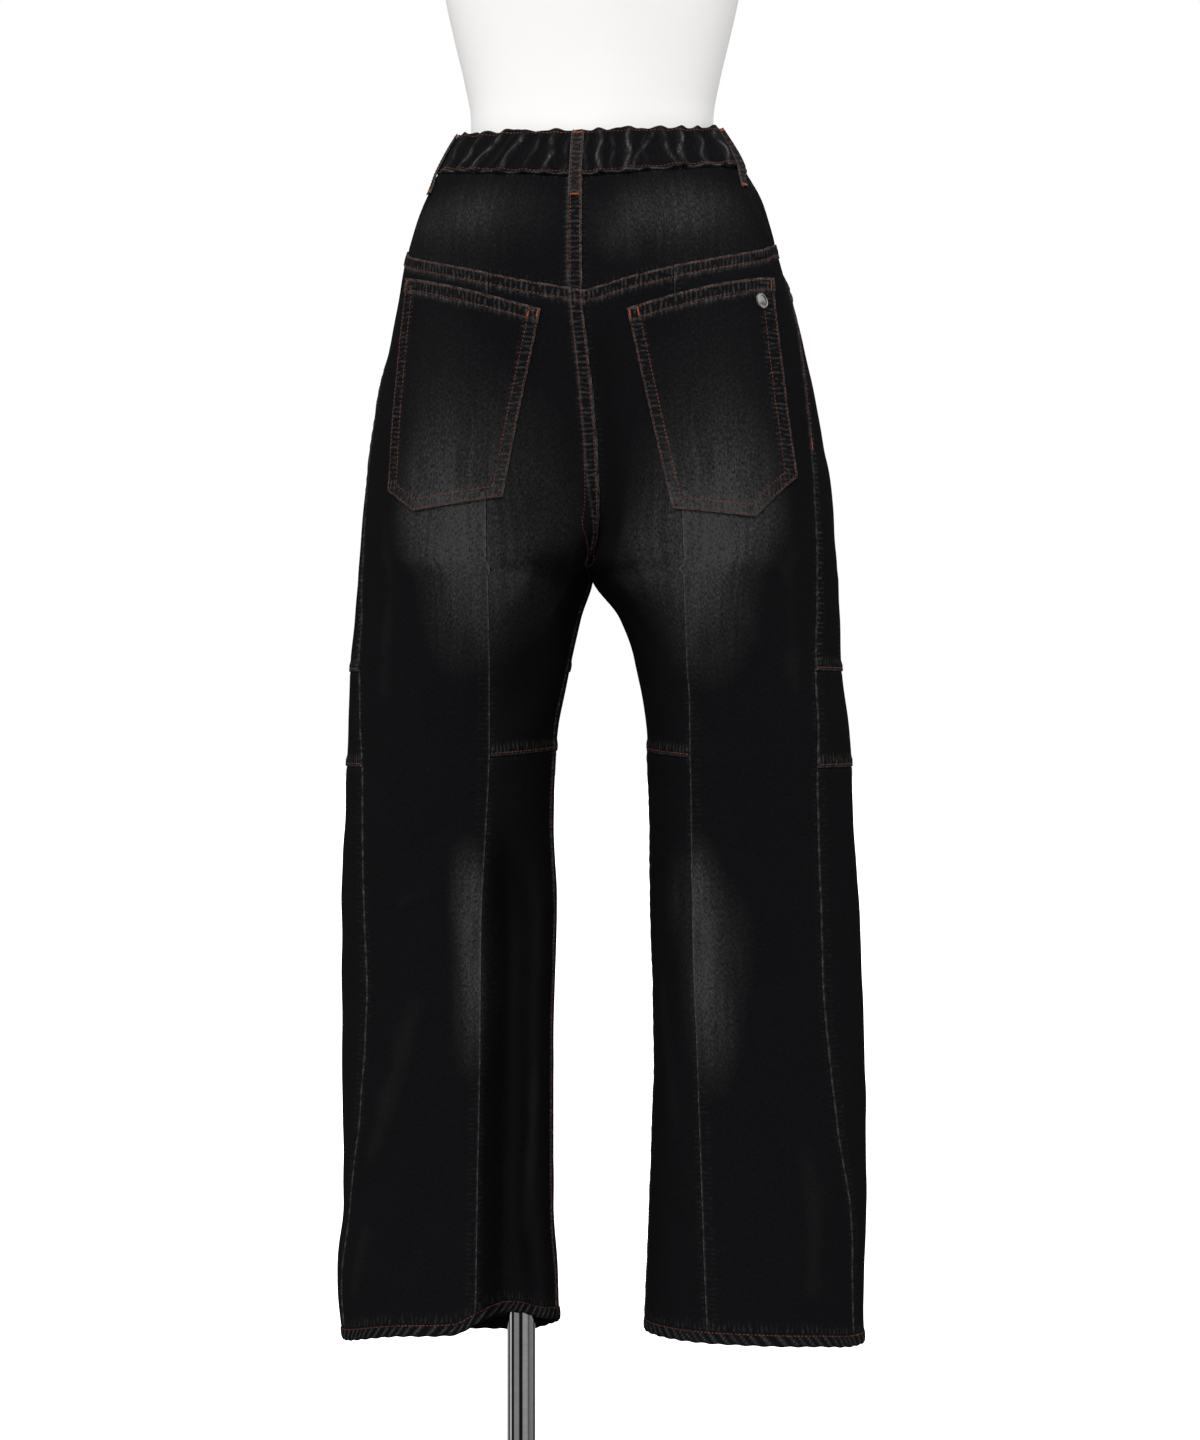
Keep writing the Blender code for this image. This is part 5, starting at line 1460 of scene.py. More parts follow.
def level_row(leg, first, last, height):
    """A row of sewing that follows a height round the garment."""
    def ends(share):
        q = first + (last - first) * share
        return q, height(q)
    return (leg, *line(leg, ends))


def side_row(leg, low, high, q_line, off):
    """A row of sewing that follows a seam up the garment, off metres to its front side."""
    def ends(share):
        z = low + (high - low) * share
        q = q_line(z)
        return q + off * span(q, leg, z), z
    return (leg, *line(leg, ends))


def placed_row(leg, face, places):
    """A row of sewing through places given as x and z."""
    places = np.array(places)
    steps = np.linalg.norm(np.diff(places, axis=0), axis=1)
    way = np.concatenate(((0.0,), np.cumsum(steps)))
    share = np.linspace(0.0, way[-1], max(3, int(way[-1] / SEW_STEP)))
    x = np.interp(share, way, places[:, 0])
    z = np.interp(share, way, places[:, 1])
    return leg, q_at(leg, face, x, z), z


def pocket_line(leg, edges, inset):
    """Places along a pocket's edges, set in from them. edges names its corners in order."""
    corner = {key: np.array(value) for key, value in POCKET_CORNERS[leg].items()}
    middle = sum(corner.values()) / len(corner)
    names = list(POCKET_ROUND)
    points = []
    for name in edges:
        number = names.index(name)
        here = corner[name]
        before = corner[names[number - 1]] - here
        after = corner[names[(number + 1) % len(names)]] - here
        before, after = before / np.linalg.norm(before), after / np.linalg.norm(after)
        bisector = before + after
        bisector = bisector / np.linalg.norm(bisector)
        half_angle = 0.5 * math.acos(float(np.clip(before @ after, -1.0, 1.0)))
        if bisector @ (middle - here) < 0.0:
            bisector = -bisector
        points.append(here + bisector * inset / math.sin(half_angle))
    return points


def seam_line(seam, off):
    """The height of a row of sewing that runs off metres above a seam."""
    return lambda q: along(seam, "z", q) + off


def plan_sewing():
    """Every row of sewing, by thread: rust topstitching, orange tacks and the loops' brown rows."""
    rust, tacks, brown = [], [], []
    for leg in OUTWARD:
        def at_centre(z):
            return GAP_Q + 0.0 * z

        def at_outseam(z):
            return 1.0 + 0.0 * z

        for inset in (ROW_INSET, ROW_SECOND):
            rust.append(level_row(leg, *YOKE_ROW, seam_line(YOKE_SEAM, -inset)))
            if leg == "left":
                rust.append(side_row(leg, *RISE_ROW, at_centre, inset))
            rust.append(side_row(leg, *INSEAM_ROW, at_centre, inset))
            rust.append(side_row(leg, *MOUTH_ROW, mouth_q, inset + MOUTH_ROW_INSET))
            rust.append(placed_row(leg, "back", pocket_line(leg, POCKET_SEWN, inset)))
        for inset in POCKET_TOP_ROWS:
            rust.append(placed_row(leg, "back", pocket_line(leg, ("top_inner", "top_outer"), inset)))
        level_rows = (
            (*BAND_ROW, seam_line(WAIST_SEAM, LAP_ROW)),
            (*BAND_ROW, seam_line(WAIST_TOP, -LAP_ROW)),
            (*HEM_ROW, lambda q: hem_edge(leg, q) + HEM_HEIGHT - HEM_ROW_DROP),
            (KNEE_ROW_START, centre_leg_q(leg, KNEE_ROW_END_Z), seam_line(KNEE_SEAM, LAP_ROW)),
            (*FRONT_ROW, seam_line(KNEE_SEAM, LAP_ROW)),
            (*FRONT_ROW, lambda q: KNEE_TOP_Z + LAP_ROW + 0.0 * q),
        )
        for first, last, height in level_rows:
            rust.append(level_row(leg, first, last, height))
        rust.append(side_row(leg, TOPSTITCH_END_Z, MOUTH_FOOT_Z, at_outseam, LAP_ROW))
        foot = TOPSTITCH_END_Z - SIDE_TACK_BELOW
        tacks.append(side_row(leg, foot, TOPSTITCH_END_Z + SIDE_TACK_ABOVE, at_outseam, LAP_ROW))
        downs = np.linspace(*POCKET_TACK_DOWN, TACK_POINTS)
        for across in POCKET_TACKS:
            tacks.append(placed_row(leg, "back", pocket_place(leg, across + 0.0 * downs, downs)))
    for leg, middle, z in LOOP_LINES.values():
        reach = span(middle, leg, z) * LOOP_WIDTH * 0.5 * LOOP_ROW_SHARE
        for side in (-1.0, 1.0):
            brown.append((leg, middle + side * reach, z))
        for row, inward in ((0, -1.0), (-1, 1.0)):
            share = np.linspace(-1.0, 1.0, TACK_POINTS)
            level = z[row] + inward * LOOP_TACK_INSET + 0.0 * share
            tacks.append((leg, middle[row] + share * reach[row], level))
    top = along(WAIST_SEAM, "z", FLY_Q) - FLY_BELOW_SEAM
    for inset in (ROW_INSET, ROW_SECOND):
        down = np.linspace(0.0, FLY_ROW_END, FLY_ROW_POINTS)
        x = FLY_INSET + (FLY_WIDTH - inset) * fly_width(down)
        rust.append(placed_row("left", "front", np.stack((x, top - FLY_LENGTH * down), axis=-1)))
    return rust, tacks, brown


def join_rings(made, rings):
    """Faces between each ring of points and the next. A ring may be a single point."""
    for low, high in zip(rings[:-1], rings[1:]):
        sides = max(len(low), len(high))
        for side in range(sides):
            after = (side + 1) % sides
            corners = (low[side % len(low)], low[after % len(low)],
                       high[after % len(high)], high[side % len(high)])
            made.faces.new(list(dict.fromkeys(corners)))


def turned(name, profile, sides, seat=(0.0, 0.0, 0.0), facing=(0.0, 0.0, 1.0)):
    """A closed solid turned from an outline of radius and height, foot first, facing one way."""
    made = bmesh.new()
    turn = Vector(tuple(facing)).to_track_quat("Z", "Y")
    rings = []
    for radius, height in profile:
        angles = (0.0,) if radius == 0.0 else np.linspace(0.0, 2.0 * math.pi, sides, endpoint=False)
        places = [Vector((radius * math.cos(a), radius * math.sin(a), height)) for a in angles]
        rings.append([made.verts.new(Vector(tuple(seat)) + turn @ place) for place in places])
    join_rings(made, rings)
    for ring, way in ((rings[0], -1), (rings[-1], 1)):
        if len(ring) > 1:
            made.faces.new(ring[::way])
    bmesh.ops.recalc_face_normals(made, faces=made.faces)
    return finished_mesh(name, made)


def finished_mesh(name, made):
    """A smooth-shaded object from a bmesh, with its sharp edges kept."""
    mesh = bpy.data.meshes.new(name)
    made.to_mesh(mesh)
    made.free()
    mesh.shade_smooth()
    mesh.set_sharp_from_angle(angle=math.radians(SOLID_SHARP_DEGREES))
    return add_object(name, mesh)


def plain_mesh(made):
    """The object with its modifiers worked into its mesh and taken off."""
    depsgraph = bpy.context.evaluated_depsgraph_get()
    mesh = bpy.data.meshes.new_from_object(made.evaluated_get(depsgraph))
    made.modifiers.clear()
    made.data = mesh
    return made


def seat_on(surface, leg, q, z):
    """The place and the slope of the finished cloth at one point of the skin."""
    return sewn_path(surface, leg, np.array([float(q)]), np.array([float(z)]))[0]


def build_metal(surface):
    """The pocket's stud, the rivets and the waist button, seated on the finished cloth."""
    button_z = 0.5 * (along(WAIST_SEAM, "z", FLY_Q) + along(WAIST_TOP, "z", FLY_Q))
    stud_q = q_at("right", "back", STUD_X, STUD_Z)
    button_q = q_at("left", "front", BUTTON_X, button_z)
    pieces = [
        ("back_pocket_stud", "right", stud_q, STUD_Z, STUD_RADIUS, STUD_HEIGHT),
        ("waist_button", "left", button_q, button_z, BUTTON_RADIUS, BUTTON_HEIGHT),
    ]
    for leg in OUTWARD:
        waist_z = along(WAIST_SEAM, "z", 1.0 + MOUTH_SHARE) - WAIST_RIVET_DROP
        side_z = MOUTH_FOOT_Z - SIDE_RIVET_DROP
        pieces.append((f"rivet_side_{leg}", leg, SIDE_RIVET_Q, side_z, RIVET_RADIUS, RIVET_HEIGHT))
        pieces.append((f"rivet_waist_{leg}", leg, WAIST_RIVET_Q, waist_z, RIVET_RADIUS, RIVET_HEIGHT))
    for node, leg, q, z, radius, height in pieces:
        seat, slope = seat_on(surface, leg, q, z)
        outline = BUTTON_PROFILE if node == "waist_button" else STUD_PROFILE
        profile = [(radius * wide, height * high) for wide, high in outline]
        made = turned(f"{node}_metal", profile, METAL_SIDES, seat - slope * METAL_SINK, slope)
        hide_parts(node)
        METAL.append(made)


def build_form():
    """The torso form, with the pole's socket cut in its underside."""
    heights = [row[0] for row in FORM_SECTIONS[1:]]
    levels = []
    for low, high in zip(heights[:-1], heights[1:]):
        steps = max(1, int(round((high - low) / FORM_STEP)))
        levels += list(np.linspace(low, high, steps, endpoint=False))
    levels = np.array([*levels, heights[-1]])
    wide = along(FORM_SECTIONS, "half_width", levels)
    deep = along(FORM_SECTIONS, "half_depth", levels)
    made = bmesh.new()
    angles = np.linspace(0.0, 2.0 * math.pi, FORM_SIDES, endpoint=False)
    rings = [[made.verts.new((a * math.cos(t), b * math.sin(t), z)) for t in angles]
             for a, b, z in zip(wide, deep, levels)]
    join_rings(made, rings)
    made.faces.new(rings[0][::-1])
    made.faces.new(rings[-1])
    form = finished_mesh("torso_shell", made)
    radius = POLE_RADIUS + SOCKET_CLEARANCE
    outline = ((radius, levels[0] - SOCKET_OVERRUN), (radius, POLE_TOP_Z + SOCKET_CLEARANCE))
    cutter = turned("socket_cutter", outline, POLE_SIDES, (POLE_X, POLE_Y, 0.0))
    cut = form.modifiers.new("pole socket", "BOOLEAN")
    cut.operation = "DIFFERENCE"
    cut.object = cutter
    plain_mesh(form)
    bpy.data.objects.remove(cutter, do_unlink=True)
    form.data.set_sharp_from_angle(angle=math.radians(FORM_SHARP_DEGREES))
    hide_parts("dress_form")
    return form


def build_stand():
    """The chrome pole, its collar and the steel base plate."""
    low = BASE_THICKNESS + SEAM_GAP
    place = (POLE_X, POLE_Y, 0.0)
    pole_outline = ((POLE_RADIUS - POLE_ROUND, low), (POLE_RADIUS, low + POLE_ROUND),
                    (POLE_RADIUS, POLE_TOP_Z - POLE_ROUND), (POLE_RADIUS - POLE_ROUND, POLE_TOP_Z))
    pole = turned("stand_pole", pole_outline, POLE_SIDES, place)
    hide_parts("pole")
    bore = POLE_RADIUS + SEAM_GAP
    outline = [(COLLAR_RADIUS * wide, low + COLLAR_HEIGHT * high) for wide, high in COLLAR_OUTLINE]
    rings = [(bore, low), *outline, (bore, low + COLLAR_HEIGHT)]
    collar = ring_solid("stand_collar", rings, POLE_SIDES, place)
    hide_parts("pole_collar")
    plate_outline = [(BASE_RADIUS * wide, BASE_THICKNESS * high) for wide, high in PLATE_OUTLINE]
    plate = turned("stand_plate", plate_outline, BASE_SIDES)
    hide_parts("base_plate")
    return pole, collar, plate


def ring_solid(name, outline, sides, seat):
    """A closed ring turned from an outline that goes round its own section."""
    made = bmesh.new()
    angles = np.linspace(0.0, 2.0 * math.pi, sides, endpoint=False)
    rings = []
    for radius, height in outline:
        places = [(seat[0] + radius * math.cos(a), seat[1] + radius * math.sin(a), seat[2] + height)
                  for a in angles]
        rings.append([made.verts.new(place) for place in places])
    join_rings(made, rings + rings[:1])
    bmesh.ops.recalc_face_normals(made, faces=made.faces)
    return finished_mesh(name, made)


def add_node(tree, kind, settings=(), inputs=()):
    """A node with its settings made and its inputs set or linked, by name or by number."""
    made = tree.nodes.new(kind)
    for key, value in dict(settings).items():
        setattr(made, key, value)
    for key, value in dict(inputs).items():
        if isinstance(value, bpy.types.NodeSocket):
            tree.links.new(value, made.inputs[key])
        else:
            made.inputs[key].default_value = value
    return made


def stitch_tree():
    """Stitches along sewn paths: a thread's bump at each pitch, laid on the cloth's own slope."""
    tree = bpy.data.node_groups.new("sewing", "GeometryNodeTree")
    face = tree.interface
    face.new_socket("Paths", in_out="INPUT", socket_type="NodeSocketGeometry")
    for name in ("Pitch", "Length", "Thread", "Turn", "Uneven"):
        face.new_socket(name, in_out="INPUT", socket_type="NodeSocketFloat")
    face.new_socket("Finish", in_out="INPUT", socket_type="NodeSocketMaterial")
    face.new_socket("Stitches", in_out="OUTPUT", socket_type="NodeSocketGeometry")
    sizes = add_node(tree, "NodeGroupInput")
    curve = add_node(tree, "GeometryNodeMeshToCurve", (), {"Mesh": sizes.outputs["Paths"]})
    spaced = add_node(tree, "GeometryNodeResampleCurve", {"mode": "LENGTH"},
                      {"Curve": curve.outputs["Curve"], "Length": sizes.outputs["Pitch"]})
    slope = add_node(tree, "GeometryNodeInputNamedAttribute", {"data_type": "FLOAT_VECTOR"},
                     {"Name": "slope"})
    tangent = add_node(tree, "GeometryNodeInputTangent")
    upright = add_node(tree, "FunctionNodeAlignRotationToVector", {"axis": "Z"},
                       {"Vector": slope.outputs["Attribute"]})
    aligned = add_node(tree, "FunctionNodeAlignRotationToVector", {"axis": "X", "pivot_axis": "Z"},
                       {"Rotation": upright.outputs["Rotation"], "Vector": tangent.outputs["Tangent"]})
    turn = add_node(tree, "FunctionNodeAxisAngleToRotation", (),
                    {"Axis": (0.0, 0.0, 1.0), "Angle": sizes.outputs["Turn"]})
    laid = add_node(tree, "FunctionNodeRotateRotation", {"rotation_space": "LOCAL"},
                    {"Rotation": aligned.outputs["Rotation"], "Rotate By": turn.outputs["Rotation"]})
    high = sums(tree, "MULTIPLY", sizes.outputs["Thread"], STITCH_FLATNESS)
    size = add_node(tree, "ShaderNodeCombineXYZ", (),
                    {0: sizes.outputs["Length"], 1: sizes.outputs["Thread"], 2: high})
    least = sums(tree, "SUBTRACT", 1.0, sizes.outputs["Uneven"])
    chance = add_node(tree, "FunctionNodeRandomValue", {"data_type": "FLOAT"},
                      {2: least, 3: 1.0, "Seed": STITCH_SEED})
    scaled = add_node(tree, "ShaderNodeVectorMath", {"operation": "SCALE"},
                      {0: size.outputs[0], "Scale": chance.outputs[1]})
    bead = add_node(tree, "GeometryNodeMeshUVSphere", (),
                    {"Segments": STITCH_SEGMENTS, "Rings": STITCH_RINGS, "Radius": 0.5})
    placed = add_node(tree, "GeometryNodeInstanceOnPoints", (),
                      {"Points": spaced.outputs["Curve"], "Instance": bead.outputs["Mesh"],
                       "Rotation": laid.outputs["Rotation"], "Scale": scaled.outputs[0]})
    real = add_node(tree, "GeometryNodeRealizeInstances", (), {"Geometry": placed.outputs["Instances"]})
    smooth = add_node(tree, "GeometryNodeSetShadeSmooth", (), {"Geometry": real.outputs["Geometry"]})
    finish = add_node(tree, "GeometryNodeSetMaterial", (),
                      {"Geometry": smooth.outputs["Geometry"], "Material": sizes.outputs["Finish"]})
    add_node(tree, "NodeGroupOutput", (), {"Stitches": finish.outputs["Geometry"]})
    return tree


def sew(name, tree, rows, surface, finish, sizes):
    """One thread's stitches along its rows, as a plain mesh."""
    points, slopes, edges = [], [], []
    for row in rows:
        path = sewn_path(surface, *row)
        first = len(points)
        points += [tuple(place) for place, _ in path]
        slopes += [tuple(slope) for _, slope in path]
        edges += [(first + number, first + number + 1) for number in range(len(path) - 1)]
    mesh = bpy.data.meshes.new(name)
    mesh.from_pydata(points, edges, [])
    slope = mesh.attributes.new("slope", "FLOAT_VECTOR", "POINT")
    slope.data.foreach_set("vector", np.array(slopes, dtype=np.float32).reshape(-1))
    made = add_object(name, mesh)
    sewing = made.modifiers.new("sewing", "NODES")
    sewing.node_group = tree
    sockets = {item.name: item.identifier for item in tree.interface.items_tree if item.in_out == "INPUT"}
    for key, value in sizes.items():
        sewing[sockets[key]] = value
    sewing[sockets["Finish"]] = finish
    return plain_mesh(made)


def new_material(name, roughness, metallic=0.0, specular=0.5):
    """A material with its even numbers set on the shader, its tree and that shader."""
    made = bpy.data.materials.new(name)
    made.use_nodes = True
    tree = made.node_tree
    shader = tree.nodes["Principled BSDF"]
    shader.inputs["Roughness"].default_value = roughness
    shader.inputs["Metallic"].default_value = metallic
    shader.inputs["Specular IOR Level"].default_value = specular
    return made, tree, shader


def sums(tree, operation, first, second, clamp=False):
    """The output of one sum on two numbers or sockets."""
    return add_node(tree, "ShaderNodeMath", {"operation": operation, "use_clamp": clamp},
                    {0: first, 1: second}).outputs[0]


def plus(tree, first, second, clamp=False):
    """Two numbers or sockets added."""
    return sums(tree, "ADD", first, second, clamp)


def times(tree, first, second, clamp=False):
    """Two numbers or sockets multiplied."""
    return sums(tree, "MULTIPLY", first, second, clamp)


def grain(tree, place, scale, detail=2.0, sharpen=None):
    """A noise over a place stretched by scale, from 0 to 1, sharpened between two levels."""
    stretched = add_node(tree, "ShaderNodeMapping", (), {"Vector": place, "Scale": scale})
    value = add_node(tree, "ShaderNodeTexNoise", (),
                     {"Vector": stretched.outputs[0], "Scale": 1.0, "Detail": detail}).outputs[0]
    if sharpen:
        value = add_node(tree, "ShaderNodeMapRange", {"clamp": True},
                         {0: value, 1: sharpen[0], 2: sharpen[1]}).outputs[0]
    return value


def blend(tree, share, first, second):
    """One colour going over to another by a share."""
    made = add_node(tree, "ShaderNodeMix", {"data_type": "RGBA"}, {0: share})
    for number, value in ((6, first), (7, second)):
        if isinstance(value, bpy.types.NodeSocket):
            tree.links.new(value, made.inputs[number])
        else:
            made.inputs[number].default_value = (*value, 1.0)
    return made.outputs[2]


def mark(tree, name):
    """One of the cloth's own marks: fade, wear, pucker_across, pucker_up or reverse. The fade holds the wash,
    and also painted shade on the inner back panels and painted light and shade on the band's gathers.
    """
    return add_node(tree, "ShaderNodeAttribute", {"attribute_name": name}).outputs["Fac"]


def bumped(tree, shader, height, strength, distance):
    """The shader's normal moved by a height."""
    bump = add_node(tree, "ShaderNodeBump", (),
                    {"Height": height, "Strength": strength, "Distance": distance})
    tree.links.new(bump.outputs[0], shader.inputs["Normal"])


def coloured(tree, shader, share, first, second):
    """The shader's colour, going over from one to another by a share."""
    tree.links.new(blend(tree, share, first, second), shader.inputs["Base Color"])


def object_place(tree):
    """The place on the object that its grain is drawn at."""
    return add_node(tree, "ShaderNodeTexCoord").outputs["Object"]


def ridges(tree, cloth, way, scale):
    """The small ridges that sewing pulls up across a seam, some light and some lost."""
    wave = add_node(tree, "ShaderNodeTexWave", {"bands_direction": way},
                    {"Vector": cloth, "Scale": RIDGE_SCALE, "Distortion": RIDGE_DISTORTION, "Detail": 2.0,
                     "Detail Scale": RIDGE_DETAIL_SCALE / RIDGE_SCALE}).outputs["Fac"]
    crest = add_node(tree, "ShaderNodeMapRange", {"clamp": True}, {0: wave, 1: RIDGE_FOOT, 2: 1.0}).outputs[0]
    return times(tree, crest, grain(tree, cloth, scale, *RIDGE_GRAIN))


def denim_finish():
    """Black denim: dark dye in a steep twill, washed places, painted shade and light of fine crumples, worn
    ridges and flecks beside the seams. The washed places also carry painted shade on the inner back panels
    and painted light and shade on the band's gathers.
    """
    made, tree, shader = new_material("black_denim", roughness=0.95, specular=0.01)
    cloth = add_node(tree, "ShaderNodeUVMap", {"uv_map": "cloth"}).outputs[0]
    slanted = add_node(tree, "ShaderNodeMapping", (),
                       {"Vector": cloth, "Rotation": (0.0, 0.0, TWILL_TURN)}).outputs[0]
    twill = add_node(tree, "ShaderNodeTexWave", {"bands_direction": "X"},
                     {"Vector": slanted, "Scale": TWILL_SCALE, "Distortion": TWILL_DISTORTION,
                      "Detail": 1.0, "Detail Scale": 2.0}).outputs["Fac"]
    grains = {name: grain(tree, slanted if name == "wrinkle" else cloth, *numbers)
              for name, *numbers in GRAINS[1:]}
    across = ridges(tree, cloth, "X", RIDGES_ACROSS)
    up = ridges(tree, cloth, "Y", RIDGES_UP)
    uneven = plus(tree, times(tree, grains["cloud"], FADE_CLOUD), times(tree, grains["streak"], FADE_STREAK))
    # The fade mark holds the wash, with painted shade on the inner back panels and painted light and shade on
    # the band's gathers
    fade = times(tree, mark(tree, "fade"), plus(tree, FADE_EVEN, uneven))
    weave = plus(tree, times(tree, grains["slub"], WEAVE_SLUB), times(tree, twill, WEAVE_TWILL))
    # Painted shade and light: a fine crumple noise in the colour stands in for the light on small wrinkles
    weave = plus(tree, WEAVE_EVEN, plus(tree, weave, times(tree, grains["wrinkle"], WEAVE_PAINTED_CRUMPLE_SHADE)))
    washed = times(tree, plus(tree, fade, WASHED_ALL_OVER), weave, clamp=True)
    specks = plus(tree, WORN_EVEN, times(tree, grains["speck"], WORN_SPECK))
    worn = times(tree, mark(tree, "wear"), specks)
    flecks_across = times(tree, across, mark(tree, "pucker_across"))
    flecks = plus(tree, flecks_across, times(tree, up, mark(tree, "pucker_up")))
    worn = plus(tree, worn, times(tree, flecks, FLECK_STRENGTH), clamp=True)
    colour = blend(tree, washed, DARK_DYE, WASHED)
    colour = blend(tree, worn, colour, WORN)
    coloured(tree, shader, mark(tree, "reverse"), colour, REVERSE)
    height = plus(tree, times(tree, twill, BUMP_TWILL), times(tree, grains["slub"], BUMP_SLUB))
    height = plus(tree, height, times(tree, grains["crumple"], BUMP_CRUMPLE))
    height = plus(tree, height, times(tree, flecks, BUMP_FLECKS))
    bumped(tree, shader, height, strength=0.5, distance=0.0005)
    return made


def thread_finish(name, colour, shade):
    """Sewing thread, its colour varied along the rows by a soft noise."""
    made, tree, shader = new_material(name, roughness=0.8, specular=0.10)
    place = object_place(tree)
    varied = grain(tree, place, (60.0,) * 3, 3.0, (0.32, 0.68))
    coloured(tree, shader, varied, tuple(shade * part for part in colour), colour)
    bumped(tree, shader, grain(tree, place, (2600.0,) * 3, 1.0), strength=0.4, distance=0.0001)
    return made


def form_finish():
    """The form's white shell, faintly mottled."""
    made, tree, shader = new_material("white_shell", roughness=0.55, specular=0.35)
    place = object_place(tree)
    coloured(tree, shader, grain(tree, place, (9.0,) * 3, 4.0, (0.30, 0.70)), *FORM_WHITES)
    bumped(tree, shader, grain(tree, place, (420.0,) * 3, 2.0), strength=0.06, distance=0.0004)
    return made


def metal_finish(name, colour, dull, roughness, scale, rough_range):
    """Bare metal with brushed or polished streaks and a soft tarnish."""
    made, tree, shader = new_material(name, roughness, metallic=1.0)
    place = object_place(tree)
    streaks = grain(tree, place, scale, 3.0, (0.30, 0.70))
    coloured(tree, shader, grain(tree, place, (150.0,) * 3, 4.0, (0.35, 0.70)), colour, dull)
    rough = add_node(tree, "ShaderNodeMapRange", (), {0: streaks, 3: rough_range[0], 4: rough_range[1]})
    tree.links.new(rough.outputs[0], shader.inputs["Roughness"])
    bumped(tree, shader, streaks, strength=0.05, distance=0.0002)
    return made


def finish_piece(made, finish):
    """A piece's material and its body."""
    made.data.materials.clear()
    made.data.materials.append(finish)
    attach(made, "root")


def build_sky():
    """Soft studio light all round, with darker and brighter upright panels for the metal to mirror."""
    world = bpy.data.worlds.new("studio")
    bpy.context.scene.world = world
    world.use_nodes = True
    tree = world.node_tree
    tree.nodes.clear()
    way = add_node(tree, "ShaderNodeTexCoord").outputs["Generated"]
    split = add_node(tree, "ShaderNodeSeparateXYZ", (), {0: way}).outputs
    azimuth = sums(tree, "ARCTAN2", split[1], split[0])
    share = add_node(tree, "ShaderNodeMapRange", (), {0: azimuth, 1: -math.pi, 2: math.pi}).outputs[0]
    panels = add_node(tree, "ShaderNodeValToRGB", (), {0: share})
    ramp = panels.color_ramp
    for element, (position, value) in zip(ramp.elements, (SKY_PANELS[0], SKY_PANELS[-1])):
        element.position = position
        element.color = (value, value, value, 1.0)
    for position, value in SKY_PANELS[1:-1]:
        ramp.elements.new(position).color = (value, value, value, 1.0)
    even = add_node(tree, "ShaderNodeBackground", (), {"Color": WHITE, "Strength": SKY_STRENGTH})
    mirrored = add_node(tree, "ShaderNodeBackground", (),
                        {"Color": panels.outputs[0], "Strength": MIRROR_STRENGTH})
    rays = add_node(tree, "ShaderNodeLightPath").outputs
    light = add_node(tree, "ShaderNodeMixShader", (),
                     {0: rays["Is Glossy Ray"], 1: even.outputs[0], 2: mirrored.outputs[0]})
    seen = add_node(tree, "ShaderNodeBackground", (), {"Color": WHITE, "Strength": 1.0})
    mixed = add_node(tree, "ShaderNodeMixShader", (),
                     {0: rays["Is Camera Ray"], 1: light.outputs[0], 2: seen.outputs[0]})
    add_node(tree, "ShaderNodeOutputWorld", (), {"Surface": mixed.outputs[0]})


def build_lamps():
    """Broad soft suns: a key from over the camera's shoulder and weaker fills."""
    for name, azimuth, elevation, strength, spread_degrees in LAMPS[1:]:
        lamp = bpy.data.lights.new(name, "SUN")
        lamp.energy = strength
        lamp.angle = math.radians(spread_degrees)
        made = add_object(name, lamp)
        a = math.radians(azimuth)
        e = math.radians(elevation)
        way = Vector((math.sin(a) * math.cos(e), -math.cos(a) * math.cos(e), math.sin(e)))
        made.rotation_mode = "QUATERNION"
        made.rotation_quaternion = way.to_track_quat("Z", "Y")
        made.location = way * LAMP_DISTANCE


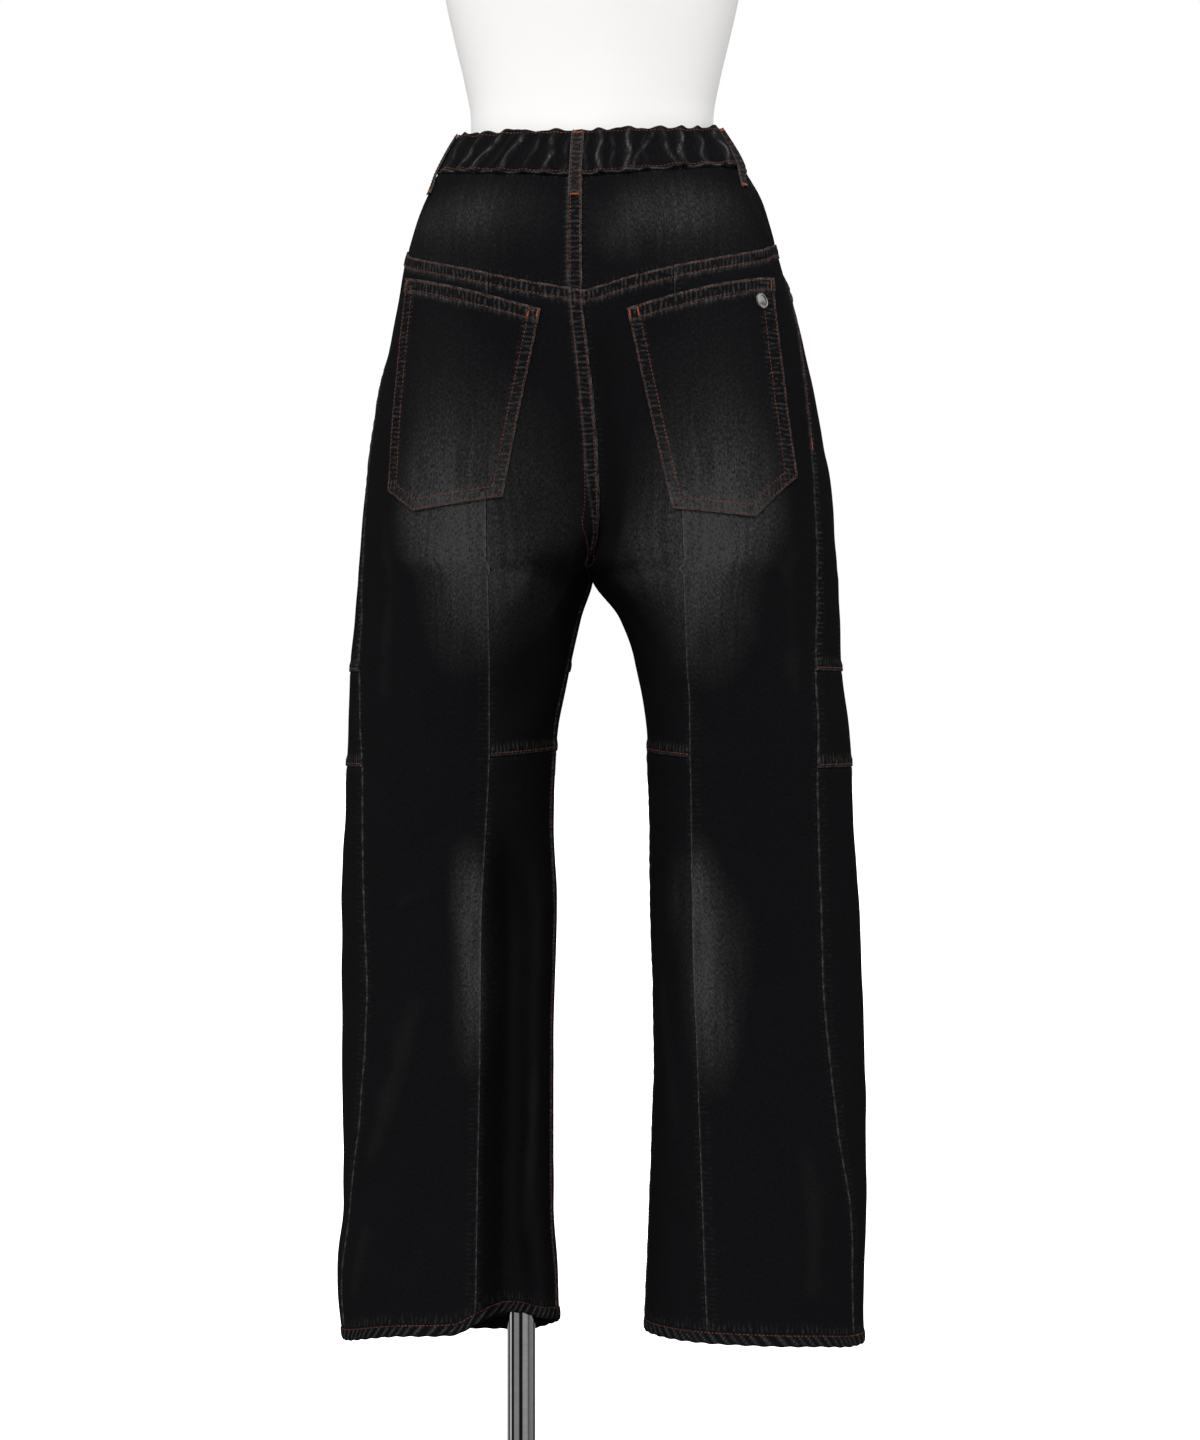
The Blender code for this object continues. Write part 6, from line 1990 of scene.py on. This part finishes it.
def build_floor():
    """A plain pale floor."""
    made = bmesh.new()
    bmesh.ops.create_circle(made, cap_ends=True, segments=FLOOR_SIDES, radius=FLOOR_RADIUS)
    floor = finished_mesh("studio_floor", made)
    finish, tree, shader = new_material("pale_floor", roughness=0.9, specular=0.1)
    coloured(tree, shader, grain(tree, object_place(tree), (0.6,) * 3, 2.0), *FLOOR_GREYS)
    shader.inputs["Emission Color"].default_value = WHITE
    shader.inputs["Emission Strength"].default_value = FLOOR_GLOW
    floor.data.materials.append(finish)
    floor.visible_diffuse = False
    floor.visible_glossy = False


def build_camera():
    """The camera at the photograph's angle."""
    lens = bpy.data.cameras.new("camera")
    lens.lens = CAMERA_LENS
    lens.sensor_fit = "VERTICAL"
    lens.sensor_height = SENSOR_HEIGHT
    camera = add_object("camera", lens)
    a = math.radians(CAMERA_AZIMUTH)
    back = Vector((math.sin(a), -math.cos(a), 0.0))
    right = Vector((math.cos(a), math.sin(a), 0.0))
    camera.location = right * CAMERA_SHIFT_RIGHT + back * CAMERA_DISTANCE + Vector((0.0, 0.0, CAMERA_Z))
    camera.rotation_euler = (math.radians(90.0), 0.0, a)
    bpy.context.scene.camera = camera
    bpy.context.scene.view_settings.view_transform = "Standard"


def build_jeans():
    """Every cloth piece, then the metal and the sewing on the finished cloth."""
    for leg in OUTWARD:
        build_panels(leg)
        build_hem(leg)
        build_pocket(leg)
    build_back_band()
    build_fly()
    for loop in LOOPS[1:]:
        build_loop(*loop)
    points, faces = [], []
    for piece in PIECES.values():
        mesh = piece["object"].data
        first = len(points)
        points += [tuple(vertex.co) for vertex in mesh.vertices]
        faces += [tuple(first + corner for corner in face.vertices) for face in mesh.polygons]
    surface = BVHTree.FromPolygons(points, faces)
    build_metal(surface)
    tree = stitch_tree()
    sewn = []
    for (name, finish_name, colour, shade, sizes), rows in zip(THREADS[1:], plan_sewing()):
        thread = thread_finish(finish_name, colour, shade)
        sewn.append((sew(name, tree, rows, surface, thread, sizes), thread))
    denim = denim_finish()
    for piece in PIECES.values():
        finish_piece(piece["object"], denim)
    for made, thread in sewn:
        finish_piece(made, thread)
    silver = metal_finish(*SILVER)
    for made in METAL:
        finish_piece(made, silver)


def main():
    """Build the piece on the frame, light it and set the camera."""
    build_jeans()
    form = build_form()
    finish_piece(form, form_finish())
    pole, collar, plate = build_stand()
    chrome = metal_finish(*CHROME)
    finish_piece(pole, chrome)
    finish_piece(collar, chrome)
    finish_piece(plate, metal_finish(*STEEL))
    build_camera()
    build_sky()
    build_lamps()
    build_floor()


main()
